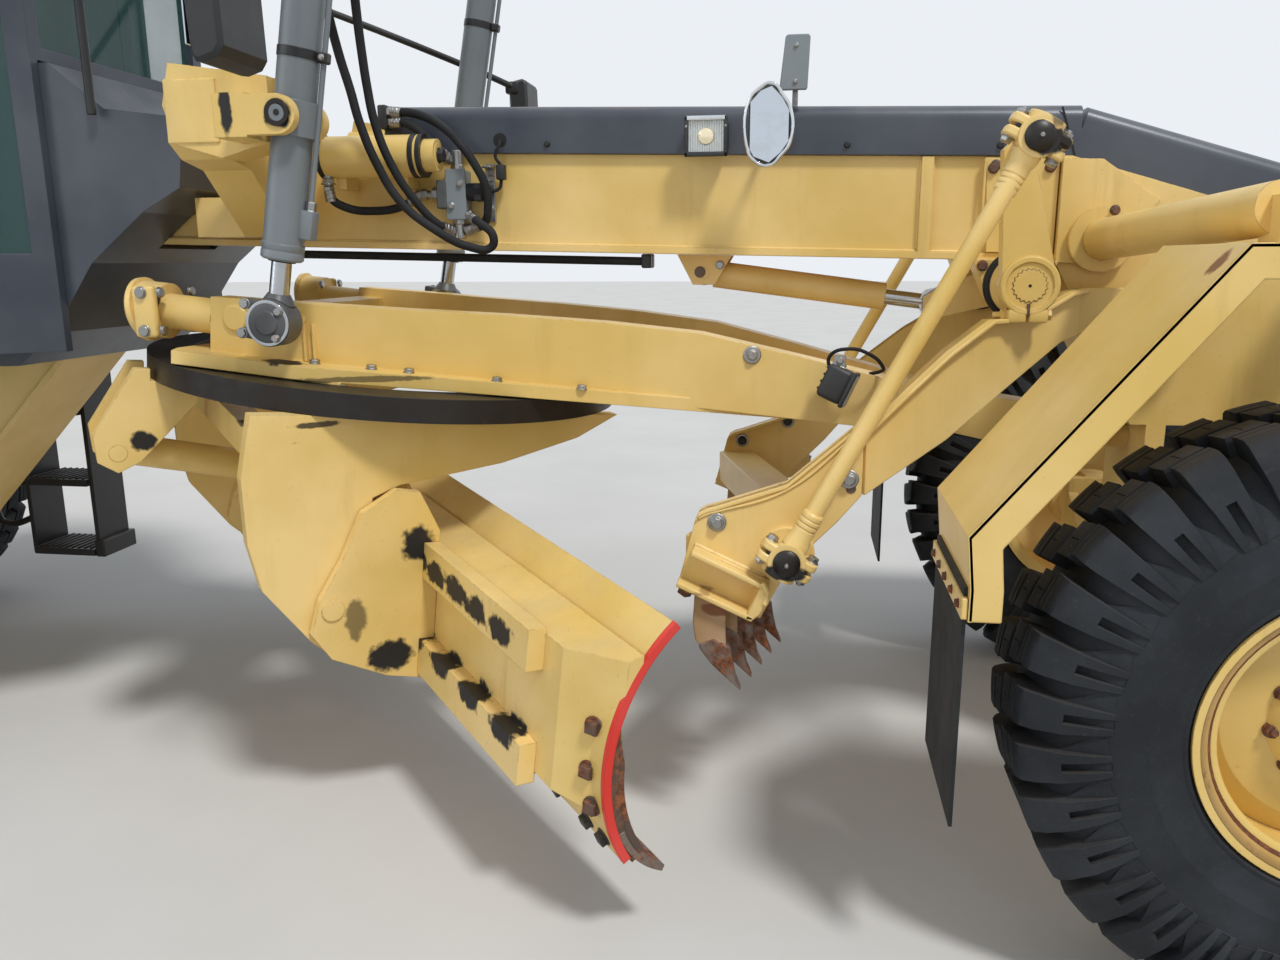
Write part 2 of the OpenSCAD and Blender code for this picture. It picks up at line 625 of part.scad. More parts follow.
tyre_low = rim_r + 1 + gap;
tyre_profile = [[tyre_low, -150], [tyre_low, -120], [tyre_low, 120], [tyre_low, 150], [345, 168], [420, 183],
  [500, tyre_w / 2], [580, 182], [640, 168], [675, 150], [tyre_r, 120], [tyre_r, -120], [675, -150],
  [640, -168], [580, -182], [500, -tyre_w / 2], [420, -183], [345, -168]];
rim_profile = [[spindle_r + run, -60], [110, -60], [110, 25], [235, 20], [292, -10], [292, -120], [298, -150],
  [322, -172], [rim_r + rim_flange, -172], [rim_r + rim_flange, -162], [312, -152], [rim_r, -145], [rim_r, 145], [312, 152],
  [rim_r + rim_flange, 162], [rim_r + rim_flange, 172], [322, 172], [298, 150], [292, 120], [292, 20], [240, 50],
  [150, 60], [110, 110], [0, 110], [0, 90], [spindle_r + run, 90]];

// side is 1 on the left and -1 on the right
module wheel_at(x, side) translate([x, side * wheel_y, tyre_r]) rotate([-90 * side, 0, 0]) children();
module tyre(x, side) color(rubber) wheel_at(x, side)
  difference() {
    rotate_extrude($fn = 96) polygon(tyre_profile);
    translate([0, 0, -200]) cylinder(r = tyre_low, h = 400, $fn = 96);
    for (s = [-1, 1]) translate([0, 0, s * 159 - 15]) cylinder(r = rim_r + rim_flange + gap, h = 30, $fn = 96);
  }
module rim(x, side) color(yellow) wheel_at(x, side) rotate_extrude($fn = 96) polygon(rim_profile);

module tyre_front_right() tyre(0, -1);
module tyre_front_left() tyre(0, 1);
module tyre_middle_right() tyre(middle_x, -1);
module tyre_middle_left() tyre(middle_x, 1);
module tyre_rear_right() tyre(rear_x, -1);
module tyre_rear_left() tyre(rear_x, 1);
module rim_front_right() rim(0, -1);
module rim_front_left() rim(0, 1);
module rim_middle_right() rim(middle_x, -1);
module rim_middle_left() rim(middle_x, 1);
module rim_rear_right() rim(rear_x, -1);
module rim_rear_left() rim(rear_x, 1);

// Steered wheel carriers, drawn for the left and mirrored for the right

fork_half_h = 150;
fork_arm = 40;
fork_half_w = 85;
cheek_t = 35;
bar_x = 190;
module lean_bracket() color(yellow) {
  difference() {
    union() {
      for (s = [-1, 1]) {
        x_disc([s * (axle_half_t + 5 + cheek_t / 2), lean_y, lean_z], 78, cheek_t);
        cross_plate([[lean_y - 10, lean_z - 70], [780, tyre_r - fork_half_h], [780, tyre_r + fork_half_h],
          [lean_y - 10, lean_z + 70]], s > 0 ? axle_half_t + 5 : -axle_half_t - 5 - cheek_t, cheek_t);
      }
      block([-fork_half_w - cheek_t, 700, tyre_r - fork_half_h], [fork_half_w + cheek_t, 750, tyre_r + fork_half_h]);
      for (z = [tyre_r - fork_half_h, tyre_r + fork_half_h - fork_arm]) {
        translate([0, kingpin_y, z]) cylinder(r = 45, h = fork_arm);
        block([-45, 740, z], [45, kingpin_y, z + fork_arm]);
      }
      cross_plate([[lean_y - 50, lean_z], [lean_y + 60, lean_z], [lean_y + 45, lean_z + lean_bar_rise],
        [lean_y - 45, lean_z + lean_bar_rise]], axle_half_t + 5 + cheek_t, 30);
      x_disc([axle_half_t + 5 + cheek_t + 15, lean_y, lean_z + lean_bar_rise], 50, 30);
    }
  }
  x_disc([0, lean_y, lean_z], lean_pin_r, 2 * axle_half_t + 12);
  translate([0, kingpin_y, tyre_r - fork_half_h + 1]) cylinder(r = kingpin_r, h = 2 * fork_half_h - 2);
  bar([axle_half_t + 5 + cheek_t + 29, lean_y, lean_z + lean_bar_rise], [bar_x + 30, lean_y, lean_z + lean_bar_rise], 25);
}
module lean_bracket_left() lean_bracket();
module lean_bracket_right() mirror([0, 1, 0]) lean_bracket();

module lean_bar() color(yellow) difference() {
  union() {
    both_sides() x_disc([bar_x, lean_y, lean_z + lean_bar_rise], 45, 44);
    block([bar_x - 22, -lean_y, lean_z + lean_bar_rise - 28], [bar_x + 22, lean_y, lean_z + lean_bar_rise + 28]);
  }
  both_sides() x_disc([bar_x, lean_y, lean_z + lean_bar_rise], 25 + run, 100);
}

module knuckle() color(yellow) {
  hub_h = 2 * (fork_half_h - fork_arm) - 10;
  difference() {
    union() {
      translate([0, kingpin_y, tyre_r - hub_h / 2]) cylinder(r = 62, h = hub_h);
      y_disc([0, kingpin_y + 70, tyre_r], 80, 60);
      y_disc([0, kingpin_y + 90, tyre_r], spindle_r + 25, 70);
      y_disc([0, (kingpin_y + wheel_y + 85) / 2, tyre_r], spindle_r, wheel_y + 85 - kingpin_y);
    }
    translate([0, kingpin_y, 0]) cylinder(r = kingpin_r + run, h = 2000);
  }
}
module knuckle_left() knuckle();
module knuckle_right() mirror([0, 1, 0]) knuckle();

// Drawbar, in a frame whose origin is the ball and whose plate is level

module at_drawbar() translate([-ball_x, 0, ball_z]) rotate([0, drawbar_tilt, 0]) children();
plate_top = 5;
draw_rear = 2640;
draw_plan = [[-650, 160], [-2000, 560], [-2300, 660], [-2700, 660], [-2720, 600]];
beam_plan = [[-520, 60], [-520, 190], [-920, 270], [-2400, 560], [-draw_rear, 560], [-draw_rear, 460], [-2410, 460],
  [-930, 170], [-620, 60]];
beam_side = [[-draw_rear - 1, plate_top - 1], [-draw_rear - 1, 160], [-2100, 180], [-1800, 194], [-1510, 202],
  [-1230, 199], [-933, 160], [-519, 98], [-519, -40], [-640, plate_top - plate_t]];
lift_pad = [-2369, 124];
shoe_angles = [-90, -32, 32, 90];
rear_boss_r = 52;
stud_r = 30;

module drawbar() color(yellow) at_drawbar() {
  difference() {
    union() {
      // Plate
      translate([0, 0, plate_top - plate_t]) linear_extrude(height = plate_t)
        polygon(concat([for (p = draw_plan) [p[0], -p[1]]], [for (i = [len(draw_plan) - 1:-1:0]) draw_plan[i]]));
      // Beams from the ball housing to the rear, arched along their tops
      both_sides() intersection() {
        translate([0, 0, -200]) linear_extrude(height = 600) polygon(beam_plan);
        side_plate(beam_side, 0, 2000);
      }
      side_plate([[-40, -75], [-520, -30], [-640, plate_top - plate_t], [-640, 118], [-520, 98], [-40, 75]], 0, 150);
      sphere(r = 95);
      both_sides() {
        // Round boss and clamp of the side shift cylinder
        x_disc([-draw_rear - 80, 510, 98], rear_boss_r, 160);
        x_disc([-draw_rear - 200, 510, 98], rear_boss_r + 30, 80);
        // Lift ball stud
        bar([lift_pad[0], 500, lift_pad[1]], [lift_pad[0], 680, lift_pad[1]], 22);
        translate([lift_pad[0], 680, lift_pad[1]]) sphere(r = stud_r);
      }
      // Shoes that guide the ring
      for (a = shoe_angles) translate([-circle_x, 0, 0]) rotate([0, 0, a - 9]) rotate_extrude(angle = 18)
        polygon([[595, circle_low + 6], [circle_bore - seat, circle_low + 6], [circle_bore - seat, plate_top - plate_t + 1],
          [595, plate_top - plate_t + 1]]);
      // Cross member between the beams
      block([-2620, -470, plate_top - 1], [-2540, 470, 130]);
    }
    sphere(r = ball_r + seat);
    translate([30, -200, -100]) cube([200, 400, 200]);
    // Opening in the plate
    translate([0, 0, -100]) linear_extrude(height = 100 + plate_top + 1) polygon([[-1100, -120], [-2500, -420], [-2500, 420], [-1100, 120]]);
  }
}

module at_circle() at_drawbar() translate([-circle_x, 0, 0]) children();
circle_top = plate_top - plate_t - 5;
circle_low = circle_top - circle_h;

module blade_circle() color(black) at_circle() translate([0, 0, circle_low]) difference() {
  cylinder(r = circle_r, h = circle_h, $fn = 96);
  translate([0, 0, -1]) cylinder(r = circle_bore, h = circle_h + 2, $fn = 96);
}

// Blade frame: X runs along the blade's forward normal and Y along the blade to the left
module at_blade() at_circle() rotate([0, 0, blade_angle]) children();

arm_outline = [[-600, circle_low], [-620, -285], [-600, -470], [-560, -605], [-420, -775], [-330, -850], [-250, -855],
  [-215, -810], [-215, -640], [-260, -500], [-260, -350], [-180, -315], [140, -258], [395, -183],
  [536, circle_low]];
tip_pin = [-373, -668];
tip_pin_r = 32;
bracket_pin = [-860, -328];
tilt_pin = [-170, -450];
tilt_pin_r = 20;

module blade_arms() color(yellow) at_blade() difference() {
  union() {
    for (s = [-1, 1]) side_plate(arm_outline, s * arm_offset, arm_t);
    // Rear bracket of the tilt cylinder, as two ears
    for (s = [-1, 1]) side_plate([[-640, circle_low], [-772, circle_low], [-772, circle_low + 35],
      [-815, circle_low + 35], [-926, -275], [-915, -355], [-860, -388], [-800, -355], [-640, -170]], s * 74, 40);
    // Brace between the arms at the rear
    block([-590, -arm_offset, -250], [-510, arm_offset, -160]);
  }
  for (s = [-1, 1]) y_disc([tip_pin[0], s * arm_offset, tip_pin[1]], tip_pin_r + run, 2 * arm_t);
  y_disc([bracket_pin[0], 0, bracket_pin[1]], 25 + run, 400);
}

// Moldboard profile: an arc about blade_centre, concave to the front
blade_top = [150, -414];
blade_chord = [-67, -584] / norm([67, 584]) * blade_h;
blade_centre = blade_top + blade_chord / 2 + [584, -67] / norm([584, 67]) * sqrt(blade_r * blade_r - blade_h * blade_h / 4);

// A band between radii r0 and r1 about a centre, from angle a0 to a1
function band(c, r0, r1, a0, a1, n) = concat(
  [for (i = [0:n]) let (a = a0 + (a1 - a0) * i / n) c + r0 * [cos(a), sin(a)]],
  [for (i = [n:-1:0]) let (a = a0 + (a1 - a0) * i / n) c + r1 * [cos(a), sin(a)]]);
function angle_to(p, c) = (360 + atan2(p[1] - c[1], p[0] - c[0])) % 360;
top_angle = angle_to(blade_top, blade_centre);
low_angle = angle_to(blade_top + blade_chord, blade_centre);
edge_start = 204;
edge_r = 260;
edge_centre = blade_centre + (blade_r - edge_r) * [cos(edge_start), sin(edge_start)];
edge_end = edge_start + edge_h / edge_r * 180 / PI;
rail_l = 2600;
rail_levels = [-540, -845];
rail_size = [50, 110];
rail_n = -110;
box_outline = [[-62, -500], [60, -470], [60, -900], [-62, -870]];

module along_blade(l) translate([0, -blade_shift + l / 2, 0]) rotate([90, 0, 0]) linear_extrude(height = l) children();

module moldboard() color(yellow) at_blade() {
  along_blade(blade_l) polygon(band(blade_centre, blade_r, blade_r + blade_t, top_angle, low_angle, 24));
  // Box on the back, chamfered at its ends
  difference() {
    intersection() {
      along_blade(blade_l) polygon(box_outline);
      translate([0, -blade_shift, -1500]) linear_extrude(height = 1500)
        polygon([[200, -blade_l / 2], [20, -blade_l / 2], [-62, -blade_l / 2 + 160], [-62, blade_l / 2 - 160],
          [20, blade_l / 2], [200, blade_l / 2]]);
    }
    along_blade(blade_l + 2) translate(blade_centre) circle(r = blade_r + blade_t - 1, $fn = 96);
  }
  for (z = rail_levels) along_blade(rail_l) translate([rail_n, z - rail_size[1] / 2]) square(rail_size);
}

module cutting_edge() color(rust) at_blade() difference() {
  along_blade(blade_l) polygon(band(edge_centre, edge_r - edge_t - gap, edge_r - gap, edge_start, edge_end, 12));
}

// Cradle that carries the blade: a forked casting at each arm and a cross tube between them
cradle_outline = [[-430, -740], [-411, -640], [-352, -525], [-300, -385], [-200, -320], [-130, -330], [-63, -450],
  [-63, -925], [-205, -895], [-371, -820]];
cradle_cheek = 30;
tilt_ear_y = 45;
module blade_cradle() color(yellow) at_blade() difference() {
  union() {
    for (s = [-1, 1]) {
      for (t = [-1, 1]) side_plate(cradle_outline, s * arm_offset + t * (arm_t / 2 + 5 + cradle_cheek / 2), cradle_cheek);
      y_disc([tip_pin[0], s * arm_offset, tip_pin[1]], tip_pin_r, arm_t + 2 * cradle_cheek + 20);
      // Web that joins the two cheeks in front of the arm's tip
      side_plate([[-150, -600], [-118, -600], [-118, -880], [-150, -880]], s * arm_offset, arm_t + 20);
    }
    block([-190, -arm_offset + 40, -575], [-120, arm_offset - 40, -505]);
    for (t = [-1, 1]) side_plate([[-190, -540], [-120, -540], [-120, -450], [-140, -405], [-200, -405], [-215, -450]],
      t * tilt_ear_y, 30);
    y_disc([tilt_pin[0], 0, tilt_pin[1]], tilt_pin_r, 2 * tilt_ear_y);
  }
  // Guides of the rails
  for (z = rail_levels) translate([rail_n - seat, -2000, z - rail_size[1] / 2 - seat]) cube([200, 4000, rail_size[1] + 2 * seat]);
}

tilt_dir = (tilt_pin - bracket_pin) / norm(tilt_pin - bracket_pin);
function tilt_at(d) = let (q = bracket_pin + tilt_dir * d) [q[0], 0, q[1]];
tilt_barrel_l = 460;
module tilt_barrel() color(yellow) at_blade() difference() {
  union() {
    bar(tilt_at(30), tilt_at(tilt_barrel_l), 48);
    y_disc([bracket_pin[0], 0, bracket_pin[1]], 45, 100);
    y_disc([bracket_pin[0], 0, bracket_pin[1]], 25, 190);
  }
  bar(tilt_at(80), tilt_at(tilt_barrel_l + 20), 24 + run);
}
module tilt_rod() color(steel) at_blade() difference() {
  union() {
    bar(tilt_at(120), tilt_at(norm(tilt_pin - bracket_pin) - 35), 24);
    y_disc([tilt_pin[0], 0, tilt_pin[1]], 46, 50);
  }
  y_disc([tilt_pin[0], 0, tilt_pin[1]], tilt_pin_r + 10, 60);
}

// Lift cylinders, drawn for the left and mirrored for the right
barrel_low_z = 1680;
eye_r = 62;
eye_bore = 48;
module lift_barrel() color(barrel_grey) difference() {
  union() {
    bar(lift_ball + lift_lean * (barrel_low_z - lift_ball[2]), lift_top, lift_barrel_r);
    bar(gimbal - lift_unit * collar_half, gimbal + lift_unit * collar_half, collar_r);
    y_disc(gimbal, trunnion_r, cheek_y[1] - cheek_y[0] + 4);
  }
  bar(lift_ball, lift_top - lift_unit * 60, lift_rod_r + run);
}
module lift_rod() color(steel) difference() {
  union() {
    bar(lift_ball + lift_unit * (eye_bore + 4), lift_ball + lift_unit * 700, lift_rod_r);
    y_disc(lift_ball + [0, 13, 0], eye_r, 82);
  }
  y_disc(lift_ball + [0, 6, 0], eye_bore, 72);
}
module lift_barrel_left() lift_barrel();
module lift_barrel_right() mirror([0, 1, 0]) lift_barrel();
module lift_rod_left() lift_rod();
module lift_rod_right() mirror([0, 1, 0]) lift_rod();

// Scarifier

scar_pivot = [-100, 1520];
scar_pin_r = 36;
scar_eye_y = [235, 295];
scar_y = 640;
scar_slant = [[-1000, 640], [-400, 270]];
ball_stud_r = 28;
ball_socket_r = 50;
ball_bore_r = 38;
lever_ball = [-628, 665, 1953];
scar_ball = [-1190, 722, 897];
side_low = [[-1380, 1020], [-1195, 1085], [-1010, 1250], [-1000, 1245], [-999, 1060], [-1060, 985], [-1180, 860], [-1259, 704],
  [-1487, 795], [-1440, 980]];
arm_side = [[0, 1245], [245, 1431], [380, 1511], [505, 1514], [650, 1580], [705, 1590], [705, 1460], [640, 1440],
  [470, 1330], [260, 1190], [1, 1060]];
arm_front = [[-400, 1590], [-170, 1590], [-100, 1585], [-100, 1455], [-170, 1465], [-400, 1460]];

module scarifier_frame() color(yellow) difference() {
  union() {
    both_sides() {
      // Side plate down to the tooth block, then the arm that runs in to the pivot
      side_plate(side_low, scar_y, 30);
      translate([scar_slant[0][0], scar_slant[0][1], 0])
        rotate([0, 0, atan2(scar_slant[1][1] - scar_slant[0][1], scar_slant[1][0] - scar_slant[0][0])])
        side_plate(arm_side, 0, 30);
      y_disc([scar_pivot[0], (scar_eye_y[0] + scar_eye_y[1]) / 2, scar_pivot[1]], 75, scar_eye_y[1] - scar_eye_y[0]);
      side_plate(arm_front, scar_slant[1][1], 30);
      bar([scar_ball[0], scar_y, scar_ball[2]], scar_ball, 16);
      translate(scar_ball) sphere(r = ball_stud_r);
    }
    block([-1470, -626, 810], [-1330, 626, 930]);
  }
  y_disc([scar_pivot[0], 0, scar_pivot[1]], scar_pin_r + run, 2000);
}

lever_mid = [-760, 1537];
lever_pin_r = 20;
module scarifier_lever() color(yellow) {
  y_disc([-lever_x, 0, lever_z], lever_shaft_r, 2 * lever_y + 96);
  both_sides() {
    side_plate([[-lever_x - 72, lever_z], [-lever_x - 55, lever_z - 50], [-lever_x + 55, lever_z - 50], [-lever_x + 72, lever_z],
      [-lever_x - 18, 1960], [-lever_x - 50, 1990], [-lever_x - 90, 1950]], lever_y + 20, 50);
    y_disc([-lever_x, lever_y + 20, lever_z], 78, 56);
    bar([lever_ball[0], lever_y, lever_ball[2]], lever_ball, 16);
    translate(lever_ball) sphere(r = ball_stud_r);
    side_plate([[-lever_x, lever_z + 60], [-lever_x + 60, lever_z], [-lever_x + 20, lever_z - 60], [-740, lever_mid[1] - 42],
      [-795, lever_mid[1] - 20], [-795, lever_mid[1] + 20], [-760, lever_mid[1] + 42]], 38, 20);
  }
  y_disc([lever_mid[0], 0, lever_mid[1]], lever_pin_r, 80);
}

scar_cyl_dir = (lever_mid - [cylinder_pin[0], cylinder_pin[2]]) / norm(lever_mid - [cylinder_pin[0], cylinder_pin[2]]);
function scar_cyl_at(d) = let (q = [cylinder_pin[0], cylinder_pin[2]] + scar_cyl_dir * d) [q[0], 0, q[1]];
module scarifier_barrel() color(yellow) difference() {
  union() {
    bar(scar_cyl_at(30), scar_cyl_at(570), 42);
    y_disc(cylinder_pin, 38, 2 * pin_lug_gap - 4);
    y_disc(cylinder_pin, cylinder_pin_r, 2 * pin_lug_y);
  }
  bar(scar_cyl_at(80), scar_cyl_at(600), 24 + run);
}
module scarifier_rod() color(steel) difference() {
  union() {
    bar(scar_cyl_at(180), scar_cyl_at(norm(lever_mid - [cylinder_pin[0], cylinder_pin[2]]) - 30), 24);
    y_disc([lever_mid[0], 0, lever_mid[1]], 46, 44);
  }
  y_disc([lever_mid[0], 0, lever_mid[1]], lever_pin_r + 12, 60);
}

rod_dir = (scar_ball - lever_ball) / norm(scar_ball - lever_ball);
module tie_rods() color(yellow) both_sides() difference() {
  union() {
    bar(lever_ball + rod_dir * 30, scar_ball - rod_dir * 30, 24);
    for (q = [lever_ball, scar_ball]) y_disc(q, ball_socket_r, 76);
  }
  // Round seats, open towards the studs
  y_disc(lever_ball - [0, 100 - 29, 0], ball_stud_r + seat, 200);
  y_disc(scar_ball - [0, 100 - 29, 0], ball_bore_r, 200);
}

placed() front_beam();
placed() beam_cover();
placed() gooseneck();
placed() frame_nose();
placed() front_axle();
placed() lift_yoke();
placed() lock_cylinder();
placed() console();
placed() cab_frame();
placed() cab_roof();
placed() cab_glass();
placed() operator_station();
placed() front_fenders();
placed() mud_flaps();
placed() mirrors();
placed() work_lamps();
placed() cab_steps();
placed() rear_frame();
placed() hood();
placed() engine_block();
placed() grille();
placed() tandem_cases();
placed() exhaust();
placed() lean_bracket_right();
placed() lean_bracket_left();
placed() lean_bar();
placed() knuckle_right();
placed() knuckle_left();
placed() tyre_front_right();
placed() tyre_front_left();
placed() tyre_middle_right();
placed() tyre_middle_left();
placed() tyre_rear_right();
placed() tyre_rear_left();
placed() rim_front_right();
placed() rim_front_left();
placed() rim_middle_right();
placed() rim_middle_left();
placed() rim_rear_right();
placed() rim_rear_left();
placed() drawbar();
placed() blade_circle();
placed() blade_arms();
placed() blade_cradle();
placed() moldboard();
placed() cutting_edge();
placed() tilt_barrel();
placed() tilt_rod();
placed() lift_barrel_right();
placed() lift_barrel_left();
placed() lift_rod_right();
placed() lift_rod_left();
placed() scarifier_frame();
placed() scarifier_lever();
placed() scarifier_barrel();
placed() scarifier_rod();
placed() tie_rods();
placed() cab_door_right();
placed() cab_door_left();
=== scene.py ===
"""Looks of a motor grader with a mid-mounted scarifier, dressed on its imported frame."""

import json
import logging
import math
from collections.abc import Callable, Iterable, Sequence
from dataclasses import dataclass
from enum import Enum

import bpy
from mathutils import Matrix, Vector

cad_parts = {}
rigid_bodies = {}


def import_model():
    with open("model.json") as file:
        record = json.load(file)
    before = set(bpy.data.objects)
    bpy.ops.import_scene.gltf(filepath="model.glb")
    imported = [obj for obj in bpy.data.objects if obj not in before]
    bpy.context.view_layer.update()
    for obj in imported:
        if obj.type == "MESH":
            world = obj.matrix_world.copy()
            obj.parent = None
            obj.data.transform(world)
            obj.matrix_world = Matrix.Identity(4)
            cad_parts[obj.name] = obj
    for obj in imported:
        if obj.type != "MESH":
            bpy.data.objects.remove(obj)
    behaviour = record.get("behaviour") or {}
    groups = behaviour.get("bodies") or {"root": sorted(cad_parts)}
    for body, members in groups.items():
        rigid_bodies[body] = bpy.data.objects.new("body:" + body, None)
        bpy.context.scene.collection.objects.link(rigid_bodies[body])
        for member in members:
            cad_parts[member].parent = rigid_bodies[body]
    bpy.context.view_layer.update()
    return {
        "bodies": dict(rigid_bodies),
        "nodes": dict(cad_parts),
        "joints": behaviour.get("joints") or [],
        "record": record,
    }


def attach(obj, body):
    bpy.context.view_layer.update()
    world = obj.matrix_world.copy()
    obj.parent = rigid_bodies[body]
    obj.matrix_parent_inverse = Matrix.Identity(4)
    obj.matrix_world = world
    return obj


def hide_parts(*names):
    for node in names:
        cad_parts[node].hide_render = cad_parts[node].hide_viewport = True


LOG = logging.getLogger("grader")
ORIGIN_X = 3.585
WHEEL_Y = 1.035
WHEEL_RADIUS = 0.690
DRAWBAR_PIVOT = (-0.26, 0.0, 1.13)
DRAWBAR_TILT = 6.2
CIRCLE_REACH = 2.3
BLADE_ANGLE = 41.0
AXLES = (("front", 0.0), ("middle", -5.7175), ("rear", -7.2425))
SIDES = ((-1, "right"), (1, "left"))

Colour = tuple[float, float, float, float]
Point = tuple[float, float, float]
Pair = tuple[float, float]
Outline = Sequence[Pair]


def here(x: float, y: float, z: float) -> Vector:
    """Gives a point of the row frame from one measured from the front axle.

    Args:
        x: Distance in front of the front axle, in metres.
        y: Distance to the left of the middle.
        z: Height over the floor.

    Returns:
        The same point in the row frame.
    """
    return Vector((x + ORIGIN_X, y, z))


def turned_at(place: Point, degrees: float, axis: str = "Y") -> Matrix:
    """Gives the frame of something that stands turned at a place.

    Args:
        place: Where it stands.
        degrees: How far it is turned.
        axis: The axis that it is turned about.

    Returns:
        The frame.
    """
    return Matrix.Translation(place) @ Matrix.Rotation(math.radians(degrees), 4, axis)


def linear(red: int, green: int, blue: int) -> Colour:
    """Turns a screen colour of 0 to 255 into the renderer's linear one.

    Args:
        red: Red on the screen.
        green: Green on the screen.
        blue: Blue on the screen.

    Returns:
        Linear red, green and blue, and full alpha.
    """
    made = []
    for value in (red, green, blue):
        share = value / 255
        made.append(share / 12.92 if share <= 0.04045 else ((share + 0.055) / 1.055) ** 2.4)
    return made[0], made[1], made[2], 1.0


def shaded(colour: Colour, factor: float, lift: float = 0.0) -> Colour:
    """Makes a colour darker or paler.

    Args:
        colour: The colour.
        factor: Factor on its parts.
        lift: What is added to them.

    Returns:
        The other colour, with full alpha.
    """
    red, green, blue = (part * factor + lift for part in colour[:3])
    return red, green, blue, 1.0


class Signal:
    """A shader socket that takes part in Python expressions."""

    def __init__(self, graph: "Graph", socket: bpy.types.NodeSocket) -> None:
        """Wraps the socket of a node in a graph."""
        self.graph = graph
        self.socket = socket

    def _maths(self, operation: str, *values: "Signal | float") -> "Signal":
        """Adds a Math node.

        Args:
            operation: The node's operation.
            values: Its inputs in order.

        Returns:
            The node's output.
        """
        return self.graph.node("ShaderNodeMath", {"operation": operation}, dict(enumerate(values)))["Value"]

    def __add__(self, other: "Signal | float") -> "Signal":
        """Sum of two values."""
        return self._maths("ADD", self, other)

    __radd__ = __add__

    def __sub__(self, other: "Signal | float") -> "Signal":
        """Difference of two values."""
        return self._maths("SUBTRACT", self, other)

    def __rsub__(self, other: float) -> "Signal":
        """A number less this value."""
        return self._maths("SUBTRACT", other, self)

    def __mul__(self, other: "Signal | float") -> "Signal":
        """Product of two values."""
        return self._maths("MULTIPLY", self, other)

    __rmul__ = __mul__

    def above(self, low: float, high: float) -> "Signal":
        """Rises from 0 at low to 1 at high, with a smooth start and end.

        Args:
            low: Value at which the result leaves 0.
            high: Value at which it reaches 1.

        Returns:
            The smoothed share.
        """
        settings = {"interpolation_type": "SMOOTHSTEP"}
        inputs = {"Value": self, "From Min": low, "From Max": high, "To Min": 0.0, "To Max": 1.0}
        return self.graph.node("ShaderNodeMapRange", settings, inputs)["Result"]

    def clamped(self) -> "Signal":
        """The value held between 0 and 1."""
        return self.graph.node("ShaderNodeClamp", {}, {"Value": self})["Result"]


class Outputs:
    """The outputs of a node, by name."""

    def __init__(self, graph: "Graph", node: bpy.types.Node) -> None:
        """Keeps the node."""
        self.graph = graph
        self.node = node

    def __getitem__(self, name: str) -> Signal:
        """The output of that name."""
        return Signal(self.graph, self.node.outputs[name])


